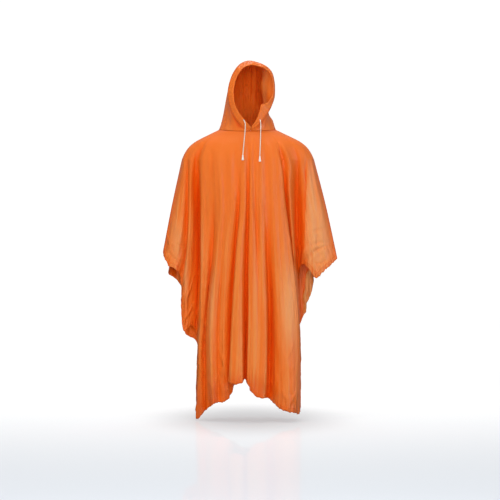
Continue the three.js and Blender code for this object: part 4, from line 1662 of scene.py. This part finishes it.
@dataclass
class Casing:
    """The folded-over hem round the face, with the drawcord inside its nose."""

    shape: HoodShape = field(default_factory=HoodShape)
    stations: int = 520
    nose: float = 5.2
    rear: float = 1.1
    film: float = 0.45
    flat_size: Tuple[float, float] = (760.0, 52.0)

    def build(self, film: bpy.types.Material) -> bpy.types.Object:
        """Builds the casing as a strip folded round the cord's channel, with fine gathers.

        Args:
            film: its material.

        Returns:
            The finished object.
        """
        upper = [(0, 0), (0.03, 0.45), (0.1, 0.84), (0.2, 1.0), (0.32, 0.95), (0.46, 0.66), (0.6, 0.5)]
        upper += [(0.78, 0.46), (0.9, 0.34), (1.0, self.rear / self.nose)]
        loop = list(reversed(upper[1:])) + [upper[0]] + [(b, -h) for b, h in upper[1:]]
        share = np.linspace(0, 1, self.stations)
        nose, rear, outward = self.shape.section(share)
        gathers = Ripple(71, 9)
        rings = []
        run = share * 760.0
        for back, half in loop:
            point = nose + (rear - nose) * back
            hold = math.sin(min(back, 1.0) * math.pi) ** 0.6
            pucker = 0.42 * gathers.at(run / 15.0, np.full_like(run, back * 0.6))
            pucker = pucker * hold * smoothstep(share, 0, 0.03) * (1 - smoothstep(share, 0.97, 1))
            rings.append(point + outward * (half * self.nose / 2 + pucker)[:, None])
        grid = np.stack(rings, axis=1)
        count = len(loop)
        faces = grid_faces(self.stations, count, True)
        obj = mesh_object("hood_casing_film", grid.reshape(-1, 3) * MM, faces, film)
        across = np.array([b for b, _ in loop])[None, :] * 0.02 + np.zeros((self.stations, 1))
        unwrap(obj, run[:, None] / 1320.0 + np.zeros((1, count)), across)
        backs = np.array([b for b, _ in loop])
        # A small fold number all round, so the casing gets only a little painted ridge sheen and no
        # painted fold shade.
        store(obj, "fold", np.zeros((self.stations, count)) + 0.15)
        store(obj, "spread", np.zeros((self.stations, count)) + 0.5)
        store(obj, "around", run[:, None] / 1000 + np.zeros((1, count)))
        store(obj, "down", np.zeros((self.stations, 1)) + across)
        store(obj, "weld", (1 - backs)[None, :] * 24 + 11.5 + np.zeros((self.stations, 1)))
        thicken(obj, self.film * MM, -1.0)
        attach(obj, "root")
        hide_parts("hood_casing")
        return obj


# ---------------------------------------------------------------- the drawcord


@dataclass
class Drawcord:
    """A free end of the drawcord and its bell-shaped tip."""

    side: Side
    route: Tuple[Point, ...]
    diameter: float = 3.6
    tip_length: float = 21.0
    tip_neck: float = 2.6
    tip_mouth: float = 4.6
    gap: float = 0.3
    sides: int = 24
    rings: int = 260

    def path(self) -> np.ndarray:
        """The cord's centre line.

        Returns:
            Points at even steps along it, in millimetres.
        """
        route = np.array(self.route, dtype=float)
        steps = np.sqrt(np.linalg.norm(np.diff(route, axis=0), axis=1))
        knots = np.concatenate([[0.0], np.cumsum(steps)])
        dense = smooth(knots, route, np.linspace(0, knots[-1], 1200))
        run = np.concatenate([[0.0], np.cumsum(np.linalg.norm(np.diff(dense, axis=0), axis=1))])
        even = np.linspace(0, run[-1], self.rings)
        return np.stack([np.interp(even, run, dense[:, k]) for k in range(3)], axis=1)

    def cord(self, material: bpy.types.Material) -> bpy.types.Object:
        """Builds the cord as a tube whose skin carries the braid.

        Args:
            material: its material.

        Returns:
            The cord object.
        """
        path = self.path()
        run = np.concatenate([[0.0], np.cumsum(np.linalg.norm(np.diff(path, axis=0), axis=1))])
        tangent = np.gradient(path, axis=0)
        tangent /= np.linalg.norm(tangent, axis=1, keepdims=True)
        first = np.cross(tangent, np.array([1.0, 0.0, 0.0]))
        first /= np.linalg.norm(first, axis=1, keepdims=True)
        second = np.cross(tangent, first)
        angle = np.arange(self.sides) / self.sides * 2 * math.pi
        twist = run[:, None] * 2 * math.pi / 7.0
        weave = np.maximum(np.sin(4 * angle + twist), np.sin(4 * angle - twist))
        radius = self.diameter / 2 * (0.95 + 0.05 * weave)
        ends = np.sqrt(np.clip(np.minimum(run, run[-1] - run) / 0.5, 0.1, 1.0))
        radius = radius * (0.8 + 0.2 * ends)[:, None]
        grid = path[:, None, :] + radius[..., None] * (
            np.cos(angle)[None, :, None] * first[:, None, :]
            + np.sin(angle)[None, :, None] * second[:, None, :]
        )
        faces: List[Tuple[int, ...]] = []
        n = self.sides
        for r in range(self.rings - 1):
            for k in range(n):
                a, b = r * n + k, r * n + (k + 1) % n
                faces.append((a, b, b + n, a + n))
        faces.append(tuple(reversed(range(n))))
        faces.append(tuple(range((self.rings - 1) * n, self.rings * n)))
        name = f"drawcord_{self.side.name.lower()}_braid"
        obj = mesh_object(name, grid.reshape(-1, 3) * MM, faces, material)
        unwrap(obj, run[:, None] / 100 + np.zeros((1, n)), angle[None, :] / 50 + np.zeros((self.rings, 1)))
        store(obj, "strand", np.clip(0.5 - 0.5 * weave, 0, 1))
        return obj

    def tip(self, material: bpy.types.Material) -> bpy.types.Object:
        """Builds the bell-shaped tip with a rolled mouth.

        Args:
            material: its material.

        Returns:
            The tip object.
        """
        length, neck, mouth = self.tip_length, self.tip_neck, self.tip_mouth
        profile = [
            (0.0, 0.0), (neck * 0.8, 0.0), (neck, -0.25), (neck * 1.02, -length * 0.1),
            (neck * 1.08, -length * 0.26), (neck * 1.25, -length * 0.42), (mouth * 0.82, -length * 0.6),
            (mouth * 0.95, -length * 0.75), (mouth * 0.985, -length * 0.8), (mouth, -length * 0.85),
            (mouth, -length * 0.92), (mouth * 0.95, -length * 0.965), (mouth * 0.84, -length * 0.99),
            (mouth * 0.7, -length), (mouth * 0.6, -length * 0.985), (mouth * 0.55, -length * 0.93),
            (0.0, -length * 0.92),
        ]
        sides = 40
        top = np.array(self.route[-1], dtype=float) - np.array([0, 0, self.gap])
        points: List[np.ndarray] = [top.copy()]
        for radius, z in profile[1:-1]:
            for k in range(sides):
                a = k / sides * 2 * math.pi
                points.append(top + np.array([radius * math.cos(a), radius * math.sin(a), z]))
        points.append(top + np.array([0, 0, profile[-1][1]]))
        faces: List[Tuple[int, ...]] = []
        rings = len(profile) - 2
        for k in range(sides):
            m = (k + 1) % sides
            faces.append((0, 1 + k, 1 + m))
            for r in range(rings - 1):
                a, b = 1 + r * sides + k, 1 + r * sides + m
                faces.append((a, a + sides, b + sides, b))
            low = 1 + (rings - 1) * sides
            faces.append((low + k, len(points) - 1, low + m))
        name = f"cord_tip_{self.side.name.lower()}_bell"
        return mesh_object(name, np.array(points) * MM, faces, material)

    def build(self, braid: bpy.types.Material, plastic: bpy.types.Material) -> List[bpy.types.Object]:
        """Builds the cord with its tip.

        Args:
            braid: the cord's material.
            plastic: the tip's material.

        Returns:
            The cord and the tip.
        """
        side = self.side.name.lower()
        cord, tip = self.cord(braid), self.tip(plastic)
        for obj, node, slot in (
            (cord, f"drawcord_{side}", "cord"),
            (tip, f"cord_tip_{side}", "cord_tip"),
        ):
            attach(obj, "root")
            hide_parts(node)
        path = self.path()
        return [cord, tip]


LEFT_ROUTE: Tuple[Point, ...] = (
    (-24.5, -116.6, 36.5),
    (-23, -122.4, 35),
    (-19, -125.4, 25),
    (-18.2, -126, 10),
    (-19.6, -126.6, -14),
    (-23.4, -127.8, -54),
    (-27.5, -130, -98),
)
RIGHT_ROUTE: Tuple[Point, ...] = (
    (38, -110.4, 37.5),
    (39, -117.6, 36.4),
    (41, -122.6, 27),
    (41.4, -124.4, 8),
    (41, -125.6, -14),
    (39.6, -127, -55),
    (38, -129.6, -103),
)


# ---------------------------------------------------------------- welds


@dataclass
class WeldLine:
    """A heat-weld along a seam: a thin pressed bead with even knurls across it."""

    name: str
    points: np.ndarray
    pitch: float = 3.2
    width: float = 0.8

    def tree(self, material: bpy.types.Material) -> bpy.types.NodeTree:
        """The node tree that lays the knurls along a path.

        Args:
            material: the film's material.

        Returns:
            A tree with named inputs for the pitch and the width.
        """
        tree = bpy.data.node_groups.new("weld_knurls", "GeometryNodeTree")
        face = tree.interface
        face.new_socket("Path", in_out="INPUT", socket_type="NodeSocketGeometry")
        pitch = face.new_socket("Pitch", in_out="INPUT", socket_type="NodeSocketFloat")
        width = face.new_socket("Width", in_out="INPUT", socket_type="NodeSocketFloat")
        pitch.default_value = self.pitch * MM
        width.default_value = self.width * MM
        face.new_socket("Weld", in_out="OUTPUT", socket_type="NodeSocketGeometry")
        nodes, links = tree.nodes, tree.links
        into = nodes.new("NodeGroupInput")
        out = nodes.new("NodeGroupOutput")
        curve = nodes.new("GeometryNodeMeshToCurve")
        even = nodes.new("GeometryNodeResampleCurve")
        even.mode = "LENGTH"
        knurl = nodes.new("GeometryNodeMeshUVSphere")
        knurl.inputs["Segments"].default_value = 6
        knurl.inputs["Rings"].default_value = 4
        place = nodes.new("GeometryNodeInstanceOnPoints")
        real = nodes.new("GeometryNodeRealizeInstances")
        dress = nodes.new("GeometryNodeSetMaterial")
        dress.inputs["Material"].default_value = material
        links.new(into.outputs["Path"], curve.inputs[0])
        links.new(curve.outputs[0], even.inputs["Curve"])
        links.new(into.outputs["Pitch"], even.inputs["Length"])
        links.new(even.outputs[0], place.inputs["Points"])
        links.new(into.outputs["Width"], knurl.inputs["Radius"])
        links.new(knurl.outputs["Mesh"], place.inputs["Instance"])
        links.new(place.outputs[0], real.inputs[0])
        links.new(real.outputs[0], dress.inputs["Geometry"])
        links.new(dress.outputs[0], out.inputs[0])
        return tree

    def build(self, film: bpy.types.Material) -> bpy.types.Object:
        """Builds the weld.

        Args:
            film: the film's material.

        Returns:
            The finished object.
        """
        mesh = bpy.data.meshes.new(self.name)
        count = len(self.points)
        mesh.from_pydata([tuple(p) for p in self.points * MM], [(i, i + 1) for i in range(count - 1)], [])
        obj = bpy.data.objects.new(self.name, mesh)
        bpy.context.scene.collection.objects.link(obj)
        weld = obj.modifiers.new("weld", "NODES")
        weld.node_group = self.tree(film)
        sockets = {s.name: s.identifier for s in weld.node_group.interface.items_tree}
        weld[sockets["Pitch"]] = self.pitch * MM
        weld[sockets["Width"]] = self.width * MM / 2
        freeze(obj)
        obj.data.polygons.foreach_set("use_smooth", [True] * len(obj.data.polygons))
        store(obj, "weld", np.full(len(obj.data.vertices), 90.0))
        store(obj, "fold", np.full(len(obj.data.vertices), 0.3))
        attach(obj, "root")
        return obj


# ---------------------------------------------------------------- studio


@dataclass
class Studio:
    """The photograph's camera, a pale floor that turns up behind, and soft lights."""

    camera_distance: float = 9.0
    scale: float = 3.9
    pixels: int = 500
    eye_row: float = 250.0
    level_row: float = 131.0
    floor: float = -1.128

    def camera(self) -> bpy.types.Object:
        """Makes the camera, level and straight in front."""
        data = bpy.data.cameras.new("camera")
        data.sensor_width = 36.0
        data.lens = 36.0 * self.camera_distance / (self.pixels * self.scale * MM)
        data.clip_end = 100.0
        obj = bpy.data.objects.new("camera", data)
        height = (self.level_row - self.eye_row) * self.scale * MM
        obj.location = (0.0, -self.camera_distance, height)
        obj.rotation_euler = (math.pi / 2, 0.0, 0.0)
        bpy.context.scene.collection.objects.link(obj)
        bpy.context.scene.camera = obj
        return obj

    def sweep(self) -> bpy.types.Object:
        """Makes the floor and backdrop as one curved sheet."""
        profile: List[Tuple[float, float]] = [(-14.0, 0.0), (10.0, 0.0)]
        for k in range(1, 17):
            angle = k / 16 * math.pi / 2
            profile.append((10.0 + 2.5 * math.sin(angle), 2.5 - 2.5 * math.cos(angle)))
        profile.append((12.5, 9.0))
        points = [(x, y, self.floor + z) for y, z in profile for x in (-14.0, 14.0)]
        faces = [(2 * i, 2 * i + 1, 2 * i + 3, 2 * i + 2) for i in range(len(profile) - 1)]
        obj = mesh_object("studio_sweep", np.array(points), faces, StudioFloor().material())
        obj.visible_glossy = False
        obj.visible_diffuse = False
        return obj

    def lamp(
        self,
        name: str,
        place: Point,
        aim: Point,
        size: Tuple[float, float],
        power: float,
        shines: bool = True,
        lights: bool = True,
    ) -> None:
        """Hangs one soft area light.

        Args:
            name: its name.
            place: where it hangs, in metres.
            aim: what it points at.
            size: its sides, in metres.
            power: its power, in watts.
            shines: whether it shows in the film's gloss.
            lights: whether it lights matt surfaces.
        """
        data = bpy.data.lights.new(name, "AREA")
        data.shape = "RECTANGLE"
        data.size, data.size_y = size
        data.energy = power
        obj = bpy.data.objects.new(name, data)
        obj.location = place
        way = Vector(aim) - Vector(place)
        obj.rotation_euler = way.to_track_quat("-Z", "Y").to_euler()
        obj.visible_glossy = shines
        obj.visible_diffuse = lights
        bpy.context.scene.collection.objects.link(obj)

    def world(self) -> None:
        """Sets an even, nearly white surround."""
        world = bpy.data.worlds.new("studio")
        world.use_nodes = True
        background = world.node_tree.nodes["Background"]
        background.inputs["Color"].default_value = (1.0, 0.97, 0.93, 1.0)
        background.inputs["Strength"].default_value = 0.36
        bpy.context.scene.world = world

    def build(self) -> None:
        """Sets up the whole studio."""
        self.camera()
        self.sweep()
        self.world()
        self.lamp("front", (0.1, -5.4, 0.1), (0, 0, -0.5), (2.8, 2.8), 125.0, shines=False)
        self.lamp("key", (4.8, -2.9, 0.0), (0, 0, -0.4), (3.2, 2.4), 80.0, lights=False)
        self.lamp("side", (3.4, -4.4, 0.6), (0, 0, -0.4), (1.8, 1.8), 26.0, shines=False)
        self.lamp("fill", (-3.8, -4.0, 0.4), (0, 0, -0.4), (2.2, 2.2), 48.0, shines=False)
        self.lamp("top", (0.0, 0.0, 2.7), (0, 0, 0), (1.2, 5.0), 66.0)
        view = bpy.context.scene.view_settings
        view.view_transform = "Standard"
        view.look = "None"


# ---------------------------------------------------------------- the whole


def seam_paths() -> Dict[str, np.ndarray]:
    """Paths of the hood's welds.

    Returns:
        Paths by name, in millimetres.
    """
    shape = HoodShape()
    ring = shape.neck.point(np.linspace(8, 352, 400))
    ring[:, 2] += 0.6
    centre = np.array([shape.neck.x, shape.neck.y, 0.0])
    away = ring - centre
    away[:, 2] = 0
    ring = ring + away / np.linalg.norm(away, axis=1, keepdims=True) * 0.9
    crown = shape.grid(np.array([-0.001, 0.0, 0.001]), np.linspace(0.01, 0.985, 200))
    out = -grid_normals(crown)[:, 1]
    return {"neck_weld": ring, "crown_weld": crown[:, 1] + out * 0.5}


def main() -> None:
    """Builds the poncho around its frame and reports each piece."""
    logging.basicConfig(level=logging.INFO, format="%(name)s: %(message)s")
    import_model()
    Studio().build()
    film = VinylFilm().material()
    braid = BraidedCord().material()
    plastic = MouldedPlastic().material()
    for side, route in ((Side.LEFT, LEFT_ROUTE), (Side.RIGHT, RIGHT_ROUTE)):
        for obj in Drawcord(side, route).build(braid, plastic):
            LOG.info("%s: %d faces", obj.name, len(obj.data.polygons))
    panels = (
        SheetPanel(
            "front_panel_film", "front_panel", Facing.FRONT, FRONT_FOLDS, FRONT_EDGE,
            FRONT_CREASES, Deepening(-99.0, 0.02), 11, FRONT_TONES, FRONT_PLEATS,
        ),
        SheetPanel(
            "back_panel_film", "back_panel", Facing.BACK, BACK_FOLDS, BACK_EDGE,
            BACK_CREASES, Deepening(116.0, 0.75), 23, BACK_TONES, BACK_PLEATS,
            turned=(TurnedHem(2850, 3100, 32.0, -4.0),),
        ),
    )
    for panel in panels:
        obj = panel.build(film)
        LOG.info("%s: %d faces", obj.name, len(obj.data.polygons))
    for piece in (HoodHalf(Side.LEFT), HoodHalf(Side.RIGHT), Casing()):
        obj = piece.build(film)
        LOG.info("%s: %d faces", obj.name, len(obj.data.polygons))
    for name, path in seam_paths().items():
        obj = WeldLine(name, path).build(film)
        LOG.info("%s: %d faces", obj.name, len(obj.data.polygons))


if __name__ == "__main__":
    main()
